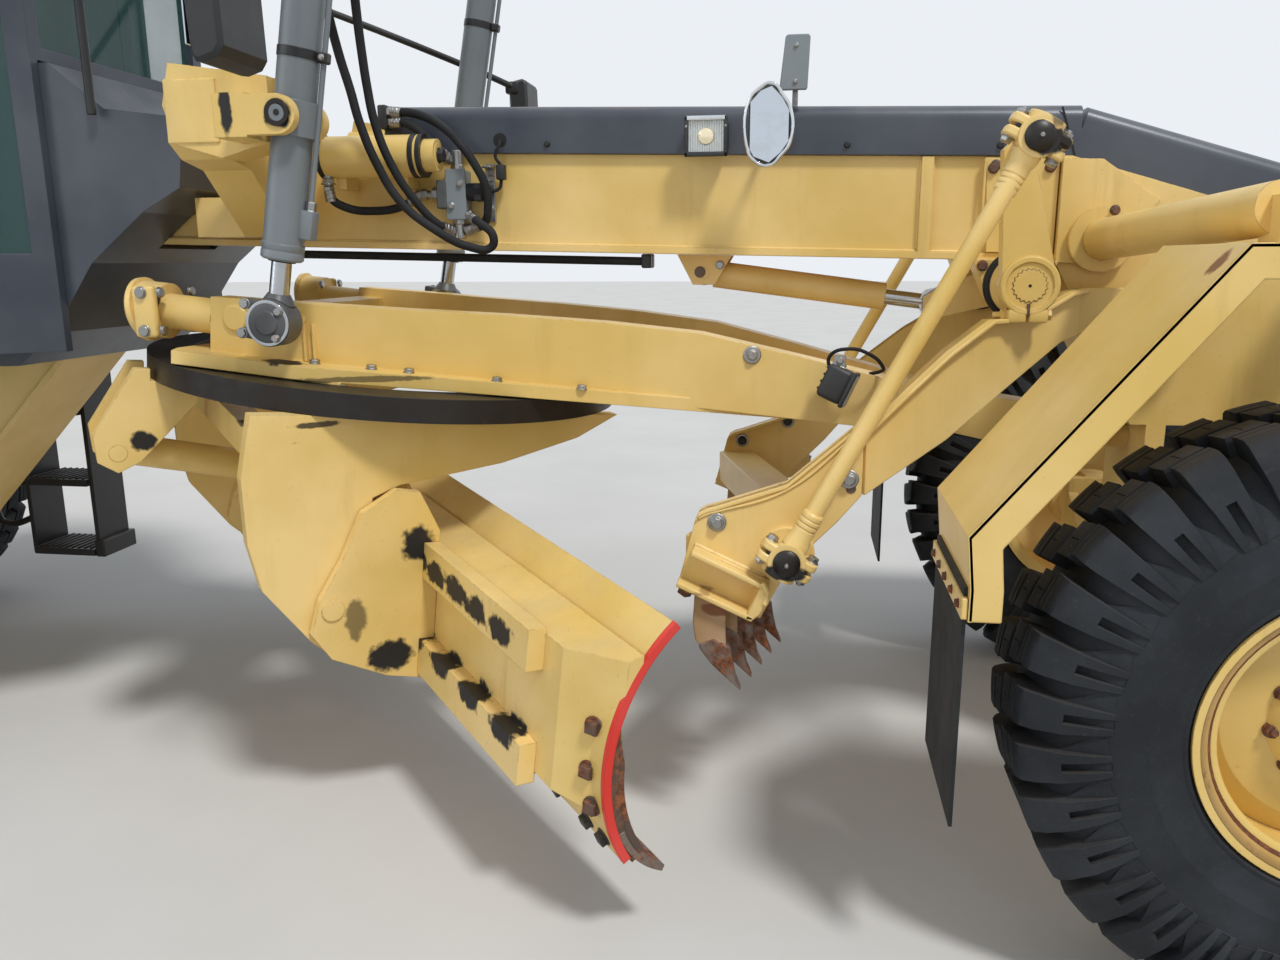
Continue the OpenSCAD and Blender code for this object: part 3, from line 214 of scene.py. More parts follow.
class Graph:
    """A material's nodes."""

    def __init__(self, name: str) -> None:
        """Makes an empty material of that name.

        Args:
            name: The material's name.
        """
        self.material = bpy.data.materials.new(name)
        self.material.use_nodes = True
        self.tree = self.material.node_tree
        self.tree.nodes.clear()
        self._place: Signal | None = None

    def node(self, kind: str, settings: dict[str, object], inputs: dict[str | int, object]) -> Outputs:
        """Adds a node, sets it, and then feeds it.

        Args:
            kind: The node's type.
            settings: Its own properties. Stops is a ramp's list of places and colours.
            inputs: Values or signals by the socket's name or number.

        Returns:
            The node's outputs.
        """
        made = self.tree.nodes.new(kind)
        for name, value in settings.items():
            if name == "stops":
                ramp = made.color_ramp.elements
                while len(ramp) < len(value):
                    ramp.new(0.5)
                for element, (place, colour) in zip(ramp, value):
                    element.position = place
                    element.color = colour
            else:
                setattr(made, name, value)
        for name, value in inputs.items():
            socket = made.inputs[name]
            if isinstance(value, Signal):
                self.tree.links.new(value.socket, socket)
            else:
                socket.default_value = value
        return Outputs(self, made)

    @property
    def place(self) -> Signal:
        """Where a point of the surface is, in the object's own frame."""
        if self._place is None:
            self._place = self.node("ShaderNodeTexCoord", {}, {})["Object"]
        return self._place

    def noise(self, scale: float, detail: float = 3.0, stretch: Point = (1, 1, 1),
              rough: float = 0.55) -> Signal:
        """Adds a noise over the surface.

        Args:
            scale: Waves a metre.
            detail: Number of finer layers.
            stretch: Factors on the three axes.
            rough: How strong the finer layers are.

        Returns:
            The noise, about 0.5 in the middle.
        """
        where = self.place
        if stretch != (1, 1, 1):
            where = self.node("ShaderNodeMapping", {}, {"Vector": where, "Scale": stretch})["Vector"]
        inputs = {"Vector": where, "Scale": scale, "Detail": detail, "Roughness": rough}
        return self.node("ShaderNodeTexNoise", {}, inputs)["Fac"]

    def mixed(self, share: Signal | float, first: object, second: object) -> Signal:
        """Mixes two colours.

        Args:
            share: 0 for the first and 1 for the second.
            first: A colour or a signal.
            second: A colour or a signal.

        Returns:
            The mixed colour.
        """
        outputs = self.node("ShaderNodeMix", {"data_type": "RGBA"}, {0: share, 6: first, 7: second})
        return Signal(self, outputs.node.outputs[2])

    def facing(self, axis: Point) -> Signal:
        """How far the surface faces along an axis.

        Args:
            axis: A unit direction.

        Returns:
            From -1 to 1.
        """
        normal = self.node("ShaderNodeNewGeometry", {}, {})["Normal"]
        inputs = {0: normal, 1: axis}
        return self.node("ShaderNodeVectorMath", {"operation": "DOT_PRODUCT"}, inputs)["Value"]

    def height(self, axis: str = "Z") -> Signal:
        """One coordinate of the surface point, in metres."""
        return self.node("ShaderNodeSeparateXYZ", {}, {"Vector": self.place})[axis]

    def near(self, centre: Vector, radii: Point) -> Signal:
        """Falls from 1 at a point to 0 at an ellipsoid round it.

        Args:
            centre: The point, in the row frame.
            radii: Half lengths of the ellipsoid.

        Returns:
            A soft mask.
        """
        scale = tuple(1 / r for r in radii)
        moved = tuple(-c * s for c, s in zip(centre, scale))
        inputs = {"Vector": self.place, "Location": moved, "Scale": scale}
        where = self.node("ShaderNodeMapping", {}, inputs)["Vector"]
        length = self.node("ShaderNodeVectorMath", {"operation": "LENGTH"}, {0: where})["Value"]
        return (1 - length).clamped()

    def edges(self, radius: float) -> tuple[Signal, Signal]:
        """Finds the corners of the surface.

        Args:
            radius: How wide the corners are taken to be.

        Returns:
            A mask of the corners, and a normal that rounds them.
        """
        rounded = self.node("ShaderNodeBevel", {"samples": 4}, {"Radius": radius})["Normal"]
        flat = self.node("ShaderNodeNewGeometry", {}, {})["True Normal"]
        inputs = {0: rounded, 1: flat}
        same = self.node("ShaderNodeVectorMath", {"operation": "DOT_PRODUCT"}, inputs)["Value"]
        return (1 - same).above(0.02, 0.25), rounded

    def bump(self, height: Signal, distance: float, strength: float = 1.0,
             normal: Signal | None = None) -> Signal:
        """Turns a height into a normal.

        Args:
            height: The height's signal.
            distance: Metres for a height of 1.
            strength: Share of the effect.
            normal: A normal to start from.

        Returns:
            The bumped normal.
        """
        inputs: dict[str | int, object] = {"Height": height, "Distance": distance, "Strength": strength}
        if normal is not None:
            inputs["Normal"] = normal
        return self.node("ShaderNodeBump", {}, inputs)["Normal"]

    def surface(self, inputs: dict[str | int, object]) -> bpy.types.Material:
        """Ends the graph in a Principled shader.

        Args:
            inputs: The shader's values or signals.

        Returns:
            The finished material.
        """
        shader = self.node("ShaderNodeBsdfPrincipled", {}, inputs)["BSDF"]
        self.node("ShaderNodeOutputMaterial", {}, {"Surface": shader})
        return self.material


YELLOW = linear(240, 202, 110)
CHARCOAL = linear(52, 59, 71)
BLACK = linear(26, 27, 29)
RUST = linear(120, 66, 34)
GREASE = linear(22, 17, 14)
DUST = linear(171, 158, 136)
ROAD_DUST = linear(122, 112, 97)


@dataclass(frozen=True)
class Stain:
    """A local patch of dirt, grease or rust.

    Attributes:
        centre: Its middle, measured from the front axle.
        radii: Half lengths of the patch.
        colour: Its linear colour.
        strength: How much it covers in its middle.
        grain: Waves a metre of its ragged edge.
    """

    centre: Point
    radii: Point
    colour: Colour = GREASE
    strength: float = 1.0
    grain: float = 22.0


@dataclass(frozen=True)
class PaintFinish:
    """Weathered machine paint.

    Attributes:
        name: The material's name.
        colour: The paint.
        rough: Its roughness.
        fade: How uneven the tone is.
        chips: How much of the corners is bare.
        dust: How much dust lies on what faces up.
        runs: How strong the dirty runs down the sides are.
        stains: Local patches.
    """

    name: str
    colour: Colour
    rough: float = 0.38
    fade: float = 0.12
    chips: float = 0.5
    dust: float = 0.25
    runs: float = 0.35
    stains: tuple[Stain, ...] = ()

    def build(self) -> bpy.types.Material:
        """Makes the paint's material.

        Returns:
            The material.
        """
        g = Graph(self.name)
        patches = g.noise(1.7, 4.0)
        deep = shaded(self.colour, 1 - self.fade * 1.6)
        pale = shaded(self.colour, 1 - self.fade, self.fade)
        colour = g.mixed(patches.above(0.3, 0.72), deep, pale)
        runs = g.noise(9.0, 5.0, (1, 1, 0.12), 0.62).above(0.55, 0.8)
        side = 1 - g.facing((0, 0, 1)).above(0.2, 0.8)
        colour = g.mixed(runs * side * self.runs, colour, shaded(self.colour, 0.55))
        speck = g.noise(85.0, 4.0).above(0.62, 0.78)
        colour = g.mixed(speck * (0.35 * self.runs), colour, RUST)
        up = g.facing((0, 0, 1)).above(0.45, 0.95)
        settled = up * g.noise(5.0, 5.0).above(0.35, 0.75) * self.dust
        colour = g.mixed(settled, colour, DUST)
        corner, rounded = g.edges(0.004)
        chip = (corner * g.noise(38.0, 4.0).above(0.6 - 0.2 * self.chips, 0.72 - 0.1 * self.chips)).clamped()
        colour = g.mixed(chip * (0.9 * min(1.0, self.chips * 1.6)), colour, RUST)
        rough = settled * 0.35 + self.rough + chip * 0.3 + g.noise(22.0, 3.0) * 0.14 - 0.07
        for stain in self.stains:
            ragged = g.near(here(*stain.centre), stain.radii) + (g.noise(stain.grain, 5.0) - 0.5) * 0.9
            mask = ragged.above(0.28, 0.5) * stain.strength
            colour = g.mixed(mask, colour, stain.colour)
            rough = rough + mask * 0.2
        height = g.noise(240.0, 2.0) * 0.5 + chip * -0.5
        normal = g.bump(height, 0.0006, 0.45, rounded)
        return g.surface({"Base Color": colour, "Roughness": rough.clamped(), "Normal": normal,
                          "Specular IOR Level": 0.5})


@dataclass(frozen=True)
class RubberFinish:
    """Rubber, with dust in its grain.

    Attributes:
        name: The material's name.
        colour: The rubber.
        dust: How much dust shows.
        grain: Waves a metre of its fine texture.
    """

    name: str
    colour: Colour
    dust: float = 0.35
    grain: float = 160.0

    def build(self) -> bpy.types.Material:
        """Makes the rubber's material.

        Returns:
            The material.
        """
        g = Graph(self.name)
        pale = shaded(self.colour, 2.0, 0.01)
        colour = g.mixed(g.noise(4.0, 5.0).above(0.35, 0.8), self.colour, pale)
        scuff = g.noise(70.0, 6.0, (1, 1, 1), 0.75).above(0.55, 0.86)
        colour = g.mixed(scuff * self.dust, colour, ROAD_DUST)
        up = g.facing((0, 0, 1)).above(0.5, 1.0)
        colour = g.mixed(up * self.dust * 0.6, colour, ROAD_DUST)
        rough = g.noise(14.0, 4.0) * 0.25 + 0.6
        normal = g.bump(g.noise(self.grain, 3.0), 0.0012, 0.5)
        return g.surface({"Base Color": colour, "Roughness": rough.clamped(), "Normal": normal,
                          "Specular IOR Level": 0.35})


@dataclass(frozen=True)
class MetalFinish:
    """Bare or plated metal.

    Attributes:
        name: The material's name.
        colour: The clean metal.
        rough: Its roughness.
        rust: How much of it is rusty.
        grease: How much of it is greasy.
        metal: Share of the metal's own reflection.
    """

    name: str
    colour: Colour
    rough: float = 0.3
    rust: float = 0.0
    grease: float = 0.0
    metal: float = 1.0

    def build(self) -> bpy.types.Material:
        """Makes the metal's material.

        Returns:
            The material.
        """
        g = Graph(self.name)
        tone = g.noise(7.0, 4.0)
        dark = shaded(self.colour, 0.78)
        colour = g.mixed(tone.above(0.3, 0.7), dark, self.colour)
        rusty = g.noise(16.0, 6.0, (1, 1, 1), 0.68).above(0.72 - 0.45 * self.rust, 0.92 - 0.4 * self.rust)
        rusty = rusty * min(1.0, self.rust * 3)
        brown = g.mixed(g.noise(60.0, 5.0).above(0.35, 0.7), linear(88, 50, 30), linear(154, 92, 52))
        colour = g.mixed(rusty, colour, brown)
        oily = g.noise(11.0, 5.0).above(0.7 - 0.4 * self.grease, 0.9 - 0.35 * self.grease)
        oily = oily * min(1.0, self.grease * 3)
        colour = g.mixed(oily, colour, GREASE)
        rough = g.noise(30.0, 4.0) * 0.16 + (self.rough - 0.08) + rusty * 0.4
        _, rounded = g.edges(0.003)
        normal = g.bump(g.noise(120.0, 4.0) * (0.3 + self.rust), 0.001, 0.5, rounded)
        shine = ((1 - rusty) * (1 - oily)) * self.metal
        return g.surface({"Base Color": colour, "Roughness": rough.clamped(), "Metallic": shine,
                          "Normal": normal})


@dataclass(frozen=True)
class GlassFinish:
    """Tinted window glass.

    Attributes:
        name: The material's name.
        colour: The tint.
        clear: How much shows through it.
    """

    name: str
    colour: Colour
    clear: float = 0.75

    def build(self) -> bpy.types.Material:
        """Makes the glass's material.

        Returns:
            The material.
        """
        g = Graph(self.name)
        film = g.noise(3.0, 5.0).above(0.4, 0.8)
        rough = film * 0.06 + 0.02
        alpha = film * 0.08 + (1 - self.clear)
        material = g.surface({"Base Color": self.colour, "Roughness": rough, "Alpha": alpha, "IOR": 1.5,
                              "Specular IOR Level": 0.8})
        material.blend_method = "BLEND"
        return material


@dataclass(frozen=True)
class MirrorFinish:
    """Silvered glass of a mirror or a lamp's reflector.

    Attributes:
        name: The material's name.
        colour: The tint.
        rough: Its roughness.
    """

    name: str
    colour: Colour
    rough: float = 0.05

    def build(self) -> bpy.types.Material:
        """Makes the mirror's material.

        Returns:
            The material.
        """
        g = Graph(self.name)
        film = g.noise(18.0, 4.0).above(0.45, 0.8)
        colour = g.mixed(film * 0.3, self.colour, DUST)
        return g.surface({"Base Color": colour, "Roughness": film * 0.2 + self.rough, "Metallic": 1.0})


Finish = PaintFinish | RubberFinish | MetalFinish | GlassFinish | MirrorFinish


class Palette:
    """Builds each finish once and hands out its material."""

    def __init__(self) -> None:
        """Starts empty."""
        self._made: dict[str, bpy.types.Material] = {}

    def of(self, finish: Finish) -> bpy.types.Material:
        """Gives a finish's material.

        Args:
            finish: The finish.

        Returns:
            Its material, made at the first call.
        """
        if finish.name not in self._made:
            self._made[finish.name] = finish.build()
        return self._made[finish.name]


PAINT = PaintFinish("machine_paint", YELLOW)
PAINT_WORN = PaintFinish("machine_paint_worn", YELLOW, chips=0.9, runs=0.6, dust=0.4)
PAINT_DARK = PaintFinish("charcoal_paint", CHARCOAL, rough=0.32, fade=0.05, chips=0.15, dust=0.2, runs=0.15)
PLASTIC = PaintFinish("black_plastic", BLACK, rough=0.5, fade=0.02, chips=0.0, dust=0.3, runs=0.1)
BLACK_PAINT = PaintFinish("black_paint", linear(20, 20, 21), rough=0.4, fade=0.02, chips=0.35, dust=0.35,
                          runs=0.2)
BARREL_PAINT = PaintFinish("cylinder_paint", linear(112, 119, 123), rough=0.35, fade=0.05, chips=0.25,
                           dust=0.15, runs=0.3)
TYRE_RUBBER = RubberFinish("tyre_rubber", linear(25, 28, 32), dust=0.22)
FLAP_RUBBER = RubberFinish("flap_rubber", linear(24, 25, 26), dust=0.3, grain=60.0)
HOSE_RUBBER = RubberFinish("hose_rubber", linear(20, 21, 23), dust=0.12, grain=300.0)
SEAL_RUBBER = RubberFinish("seal_rubber", linear(18, 18, 19), dust=0.1)
CHROME = MetalFinish("plated_rod", linear(198, 202, 206), rough=0.16, grease=0.15)
ZINC = MetalFinish("plated_bolt", linear(168, 168, 166), rough=0.38, rust=0.35, grease=0.2)
RUSTY = MetalFinish("rusty_steel", linear(112, 96, 86), rough=0.5, rust=0.8, metal=0.7)
WORN_EDGE = MetalFinish("worn_edge", linear(150, 136, 126), rough=0.42, rust=0.75, metal=0.8)
GREASY = MetalFinish("greasy_steel", linear(46, 41, 37), rough=0.42, rust=0.25, grease=0.75, metal=0.5)
GREY_CAST = MetalFinish("grey_casting", linear(96, 98, 98), rough=0.55, rust=0.15, grease=0.3, metal=0.3)
GLASS = GlassFinish("tinted_glass", linear(58, 104, 98))
LENS = GlassFinish("lamp_lens", linear(222, 228, 230), clear=0.6)
MIRROR = MirrorFinish("mirror_glass", linear(206, 214, 222))
REFLECTOR = MirrorFinish("lamp_reflector", linear(214, 214, 206), 0.16)
CHROME_CLEAN = MetalFinish("chrome_trim", linear(226, 229, 232), rough=0.1)
RED_PAINT = PaintFinish("red_edge_paint", linear(226, 46, 30), rough=0.4, fade=0.05, chips=0.35, dust=0.1,
                        runs=0.2)
GREY_PLATE = PaintFinish("grey_plate", linear(126, 134, 138), rough=0.45, fade=0.06, chips=0.3, dust=0.2,
                         runs=0.3)
LABEL = PaintFinish("blank_label", linear(214, 208, 190), rough=0.35, fade=0.03, chips=0.0, dust=0.1,
                    runs=0.3)
BULB = MirrorFinish("lamp_bulb", linear(255, 240, 205), 0.22)
FABRIC = RubberFinish("seat_cloth", linear(40, 42, 46), dust=0.2, grain=420.0)

SCARIFIER_PAINT = PaintFinish("scarifier_paint", YELLOW, stains=(
    Stain((-1.205, -0.67, 0.86), (0.075, 0.05, 0.06)),
    Stain((-1.48, -0.70, 0.76), (0.05, 0.08, 0.03), RUST, 0.8),
    Stain((-1.44, -0.69, 0.79), (0.10, 0.08, 0.012), RUST, 0.5)))
TIE_PAINT = PaintFinish("tie_rod_paint", YELLOW, stains=(
    Stain((-0.600, -0.700, 1.935), (0.085, 0.085, 0.045)),
    Stain((-1.195, -0.755, 0.872), (0.085, 0.07, 0.04)),
    Stain((-0.590, -0.700, 2.01), (0.03, 0.05, 0.05), linear(96, 84, 78), 0.8)))
TOOTH_PAINT = PaintFinish("tooth_paint", linear(186, 140, 74), rough=0.55, fade=0.2, chips=1.0, dust=0.4,
                          runs=1.4, stains=(Stain((-1.37, -0.69, 0.74), (0.09, 0.05, 0.03), RUST, 0.8),))

RIM_RUST = MetalFinish("rim_rust", linear(104, 52, 20), rough=0.55, rust=0.7, metal=0.1)
RIM_BAND = PaintFinish("rim_band", linear(214, 164, 74), fade=0.2, chips=0.3, dust=0.3, runs=1.0)
HOUSING = PaintFinish("greasy_housing", linear(58, 60, 62), rough=0.4, fade=0.15, chips=0.2, dust=0.2,
                      runs=0.4)
FENDER_PAINT = PaintFinish("fender_paint", YELLOW, chips=0.7, runs=0.5, dust=0.3, stains=(
    Stain((-0.370, -1.175, 1.645), (0.05, 0.05, 0.07), RUST, 0.9),
    Stain((-0.83, -0.775, 1.02), (0.02, 0.015, 0.10), RUST, 0.8)))

NODE_FINISHES: dict[str, Finish] = {
    "front_beam": PAINT, "beam_cover": PAINT_DARK, "gooseneck": PAINT, "frame_nose": PAINT_WORN,
    "front_axle": PAINT_WORN, "lock_cylinder": PAINT, "console": PAINT_DARK,
    "cab_frame": PAINT_DARK, "cab_roof": PAINT_DARK, "cab_glass": GLASS, "operator_station": FABRIC,
    "front_fenders": FENDER_PAINT, "mud_flaps": FLAP_RUBBER, "mirrors": PLASTIC, "work_lamps": PLASTIC,
    "cab_steps": BLACK_PAINT, "rear_frame": PAINT_WORN, "hood": PAINT, "engine_block": GREY_CAST,
    "grille": BLACK_PAINT, "tandem_cases": PAINT_WORN, "exhaust": BLACK_PAINT, "lean_bar": PAINT_WORN,
    "blade_circle": GREASY, "cutting_edge": WORN_EDGE, "tilt_barrel": PAINT, "tilt_rod": CHROME,
    "scarifier_frame": PAINT, "scarifier_lever": PAINT, "scarifier_barrel": PAINT, "scarifier_rod": CHROME,
    "tie_rods": TIE_PAINT,
}
for _, _side in SIDES:
    NODE_FINISHES |= {
        f"lean_bracket_{_side}": PAINT_WORN, f"knuckle_{_side}": PAINT_WORN,
        f"lift_barrel_{_side}": BARREL_PAINT, f"lift_rod_{_side}": CHROME, f"cab_door_{_side}": PAINT_DARK,
    }
    for _axle, _ in AXLES:
        NODE_FINISHES |= {f"tyre_{_axle}_{_side}": TYRE_RUBBER, f"rim_{_axle}_{_side}": PAINT_WORN}

FRONT = Matrix.Translation((ORIGIN_X, 0, 0))
DRAWBAR = FRONT @ turned_at(DRAWBAR_PIVOT, DRAWBAR_TILT)
BLADE = DRAWBAR @ turned_at((-CIRCLE_REACH, 0, 0), BLADE_ANGLE, "Z")


def along_rail(level: float, start: float, end: float, count: int) -> tuple[Stain, ...]:
    """Gives a row of grease patches along a rail of the blade.

    Args:
        level: Height of the rail in the blade's frame.
        start: First place along the blade.
        end: Last place.
        count: Number of patches.

    Returns:
        The patches.
    """
    made = []
    for index in range(count):
        y = start + (end - start) * index / (count - 1)
        place = FRONT.inverted() @ BLADE @ Vector((-0.112, y, level))
        made.append(Stain(tuple(place), (0.115, 0.115, 0.058), GREASE, 1.0, 30.0))
    return tuple(made)


MOLDBOARD_PAINT = PaintFinish("moldboard_paint", YELLOW, chips=0.8, runs=0.9, dust=0.35, stains=(
    along_rail(-0.548, -1.20, -0.62, 5) + along_rail(-0.800, -1.25, -0.62, 4)))
CRADLE_PAINT = PaintFinish("cradle_paint", YELLOW, chips=0.8, runs=0.6, dust=0.35, stains=(
    Stain((-2.36, -0.62, 0.52), (0.10, 0.12, 0.08)), Stain((-2.27, -0.56, 0.86), (0.07, 0.12, 0.09)),
    Stain((-2.42, -0.70, 0.66), (0.05, 0.05, 0.10), GREASE, 0.7)))
ARM_PAINT = PaintFinish("arm_paint", YELLOW, stains=(
    Stain((-2.95, -0.68, 1.33), (0.20, 0.16, 0.05)),
    Stain((-2.60, -0.74, 1.235), (0.35, 0.10, 0.016), GREASE, 0.9),
    Stain((-3.11, -0.59, 1.15), (0.045, 0.06, 0.05)),
    Stain((-2.2, -0.80, 1.19), (0.4, 0.12, 0.014), GREASE, 0.8)))
YOKE_PAINT = PaintFinish("yoke_paint", YELLOW, chips=0.6, stains=(
    Stain((-2.645, -0.775, 2.055), (0.028, 0.05, 0.115)), Stain((-2.505, -0.775, 2.04), (0.055, 0.03, 0.055)),
    Stain((-2.56, -0.775, 2.13), (0.10, 0.05, 0.02), linear(116, 88, 54), 0.5)))
DRAWBAR_PAINT = PaintFinish("drawbar_paint", YELLOW, stains=(
    Stain((-2.62, -0.615, 1.395), (0.10, 0.075, 0.03)), Stain((-3.02, -0.585, 1.57), (0.04, 0.06, 0.07)),
    Stain((-2.72, -0.555, 1.515), (0.03, 0.03, 0.05), linear(140, 104, 60), 0.5),
    Stain((-2.4, -0.60, 1.345), (0.5, 0.10, 0.014), GREASE, 0.7)))
NODE_FINISHES |= {"moldboard": MOLDBOARD_PAINT, "blade_cradle": CRADLE_PAINT, "blade_arms": ARM_PAINT,
                  "lift_yoke": YOKE_PAINT, "drawbar": DRAWBAR_PAINT}


class Slot(Enum):
    """Material slots of the record."""

    YELLOW = "yellow_paint"
    CHARCOAL = "charcoal_paint"
    BLACK = "black_paint"
    SLATE = "slate_paint"
    STEEL = "ground_steel"
    RUSTED = "rusted_steel"
    TYRE = "tyre_rubber"
    RUBBER = "black_rubber"
    GLASS = "tinted_glass"


class Along(Enum):
    """Axis along which an outline is drawn out."""

    X = 0
    Y = 1
    Z = 2

    def put(self, first: float, second: float, along: float) -> Vector:
        """Places an outline's point.

        Args:
            first: The outline's first coordinate.
            second: Its second coordinate.
            along: Where it stands on the axis.

        Returns:
            The point.
        """
        row = [first, second]
        row.insert(self.value, along)
        return Vector(row)


class Head(Enum):
    """Kinds of fastener."""

    HEX = "hex"
    NUT = "nut"
    SQUARE = "square"
    PIN = "pin"


def pointing(axis: Point) -> Matrix:
    """Gives the turn that lays Z along a direction."""
    return Vector(axis).to_track_quat("Z", "Y").to_matrix().to_4x4()


def duplicate(piece: bpy.types.Object, frame: Matrix) -> bpy.types.Object:
    """Copies a piece together with its mesh.

    Args:
        piece: The piece.
        frame: Where the copy stands.

    Returns:
        The copy.
    """
    copy = piece.copy()
    copy.data = piece.data.copy()
    bpy.context.collection.objects.link(copy)
    copy.matrix_world = frame
    return copy


class Bench:
    """Models parts in one frame with Blender's own tools, and keeps them until they are joined."""

    def __init__(self, palette: Palette, frame: Matrix = FRONT) -> None:
        """Keeps the finishes and the frame in which places are given.

        Args:
            palette: The finishes.
            frame: The frame in which places are given.
        """
        self.palette = palette
        self.frame = frame
        self.parts: list[bpy.types.Object] = []
        self._patterns: dict[tuple[object, ...], bpy.types.Object] = {}

    def at(self, frame: Matrix) -> "Bench":
        """The same bench in another frame.

        Args:
            frame: The other frame.

        Returns:
            The bench, with the same parts and patterns.
        """
        other = Bench(self.palette, frame)
        other.parts = self.parts
        other._patterns = self._patterns
        return other

    def fresh(self) -> "Bench":
        """Gives a bench at the origin that keeps its own parts.

        Returns:
            The bench, with the same patterns.
        """
        other = self.at(Matrix())
        other.parts = []
        return other

    def _placed(self, piece: bpy.types.Object, finish: Finish,
                turn: Matrix | None = None) -> bpy.types.Object:
        """Puts a modelled piece at its place and gives it its finish.

        Args:
            piece: The piece, selected and active.
            finish: Its finish.
            turn: Its own place in the bench's frame.

        Returns:
            The piece.
        """
        piece.matrix_world = self.frame @ (turn or Matrix()) @ piece.matrix_world
        bpy.ops.object.transform_apply(location=True, rotation=True, scale=True)
        piece.data.materials.append(self.palette.of(finish))
        self.parts.append(piece)
        return piece

    def _bevel_sharp(self, width: float, segments: int = 1, angle: float = 38.0) -> None:
        """Bevels the sharp edges of the piece in edit mode.

        Args:
            width: Width of the bevel.
            segments: Steps in it.
            angle: Edges sharper than this are taken, in degrees.
        """
        bpy.context.tool_settings.mesh_select_mode = (False, True, False)
        bpy.ops.mesh.select_all(action="DESELECT")
        bpy.ops.mesh.edges_select_sharp(sharpness=math.radians(angle))
        bpy.ops.mesh.bevel(offset=width, segments=segments, affect="EDGES", clamp_overlap=True)

    def pick(self, piece: bpy.types.Object, test: Callable[[Vector, Vector], bool]) -> None:
        """Enters edit mode with some faces selected.

        Args:
            piece: The piece, still in its own frame.
            test: Says from a face's middle and normal whether it is taken.
        """
        for vertex in piece.data.vertices:
            vertex.select = False
        for edge in piece.data.edges:
            edge.select = False
        for face in piece.data.polygons:
            face.select = test(face.center, face.normal)
        bpy.context.tool_settings.mesh_select_mode = (False, False, True)
        bpy.ops.object.mode_set(mode="EDIT")

    def block(self, low: Point, high: Point, finish: Finish, bevel: float = 0.003, segments: int = 1,
              turn: Matrix | None = None) -> bpy.types.Object:
        """Makes a bevelled block.

        Args:
            low: One corner.
            high: The corner across from it.
            finish: Its finish.
            bevel: Width of the bevel on its edges.
            segments: Steps in the bevel.
            turn: Its own place in the bench's frame.

        Returns:
            The block.
        """
        size = Vector(abs(share) for share in Vector(high) - Vector(low))
        bpy.ops.mesh.primitive_cube_add(size=1, location=(Vector(low) + Vector(high)) / 2, scale=size)
        piece = bpy.context.active_object
        bpy.ops.object.transform_apply(location=True, rotation=True, scale=True)
        if bevel:
            bpy.ops.object.mode_set(mode="EDIT")
            bpy.ops.mesh.bevel(offset=min(bevel, min(size) * 0.45), segments=segments, affect="EDGES")
            bpy.ops.object.mode_set(mode="OBJECT")
        return self._placed(piece, finish, turn)

    def rod(self, start: Point, end: Point, radius: float, finish: Finish, sides: int = 20,
            bevel: float = 0.0015) -> bpy.types.Object:
        """Makes a round bar with bevelled ends.

        Args:
            start: Middle of one end.
            end: Middle of the other end.
            radius: Its radius.
            finish: Its finish.
            sides: Steps round it.
            bevel: Width of the bevel at its ends.

        Returns:
            The bar.
        """
        run = Vector(end) - Vector(start)
        bpy.ops.mesh.primitive_cylinder_add(vertices=sides, radius=radius, depth=run.length)
        piece = bpy.context.active_object
        bpy.ops.object.mode_set(mode="EDIT")
        self._bevel_sharp(bevel, 1, 50.0 if sides > 8 else 70.0)
        bpy.ops.object.mode_set(mode="OBJECT")
        middle = (Vector(start) + Vector(end)) / 2
        return self._placed(piece, finish, Matrix.Translation(middle) @ pointing(run))

    def drawn(self, outline: Outline, stations: Sequence[float], finish: Finish, along: Along = Along.Y,
              bevel: float = 0.002, turn: Matrix | None = None,
              push: tuple[Callable[[Vector, Vector], bool], Vector] | None = None) -> bpy.types.Object:
        """Draws an outline out along an axis.

        Args:
            outline: Its points, in the two other axes.
            stations: Places on the axis at which the outline stands, in any order.
            finish: Its finish.
            along: The axis.
            bevel: Width of the bevel on its sharp edges.
            turn: Its own place in the bench's frame.
            push: A test for faces that are pushed in, and how far.

        Returns:
            The piece.
        """
        stations = sorted(stations)
        bpy.ops.mesh.primitive_circle_add(vertices=len(outline), radius=1, fill_type="NGON")
        piece = bpy.context.active_object
        for vertex, (first, second) in zip(piece.data.vertices, outline):
            vertex.co = along.put(first, second, stations[0])
        bpy.ops.object.mode_set(mode="EDIT")
        for low, high in zip(stations, stations[1:]):
            step = along.put(0, 0, high - low)
            bpy.ops.mesh.extrude_region_move(TRANSFORM_OT_translate={"value": step})
        bpy.ops.mesh.select_all(action="SELECT")
        bpy.ops.mesh.normals_make_consistent(inside=False)
        if push:
            bpy.ops.object.mode_set(mode="OBJECT")
            self.pick(piece, push[0])
            bpy.ops.mesh.extrude_region_move(TRANSFORM_OT_translate={"value": push[1]})
        if bevel:
            self._bevel_sharp(bevel)
        bpy.ops.object.mode_set(mode="OBJECT")
        return self._placed(piece, finish, turn)

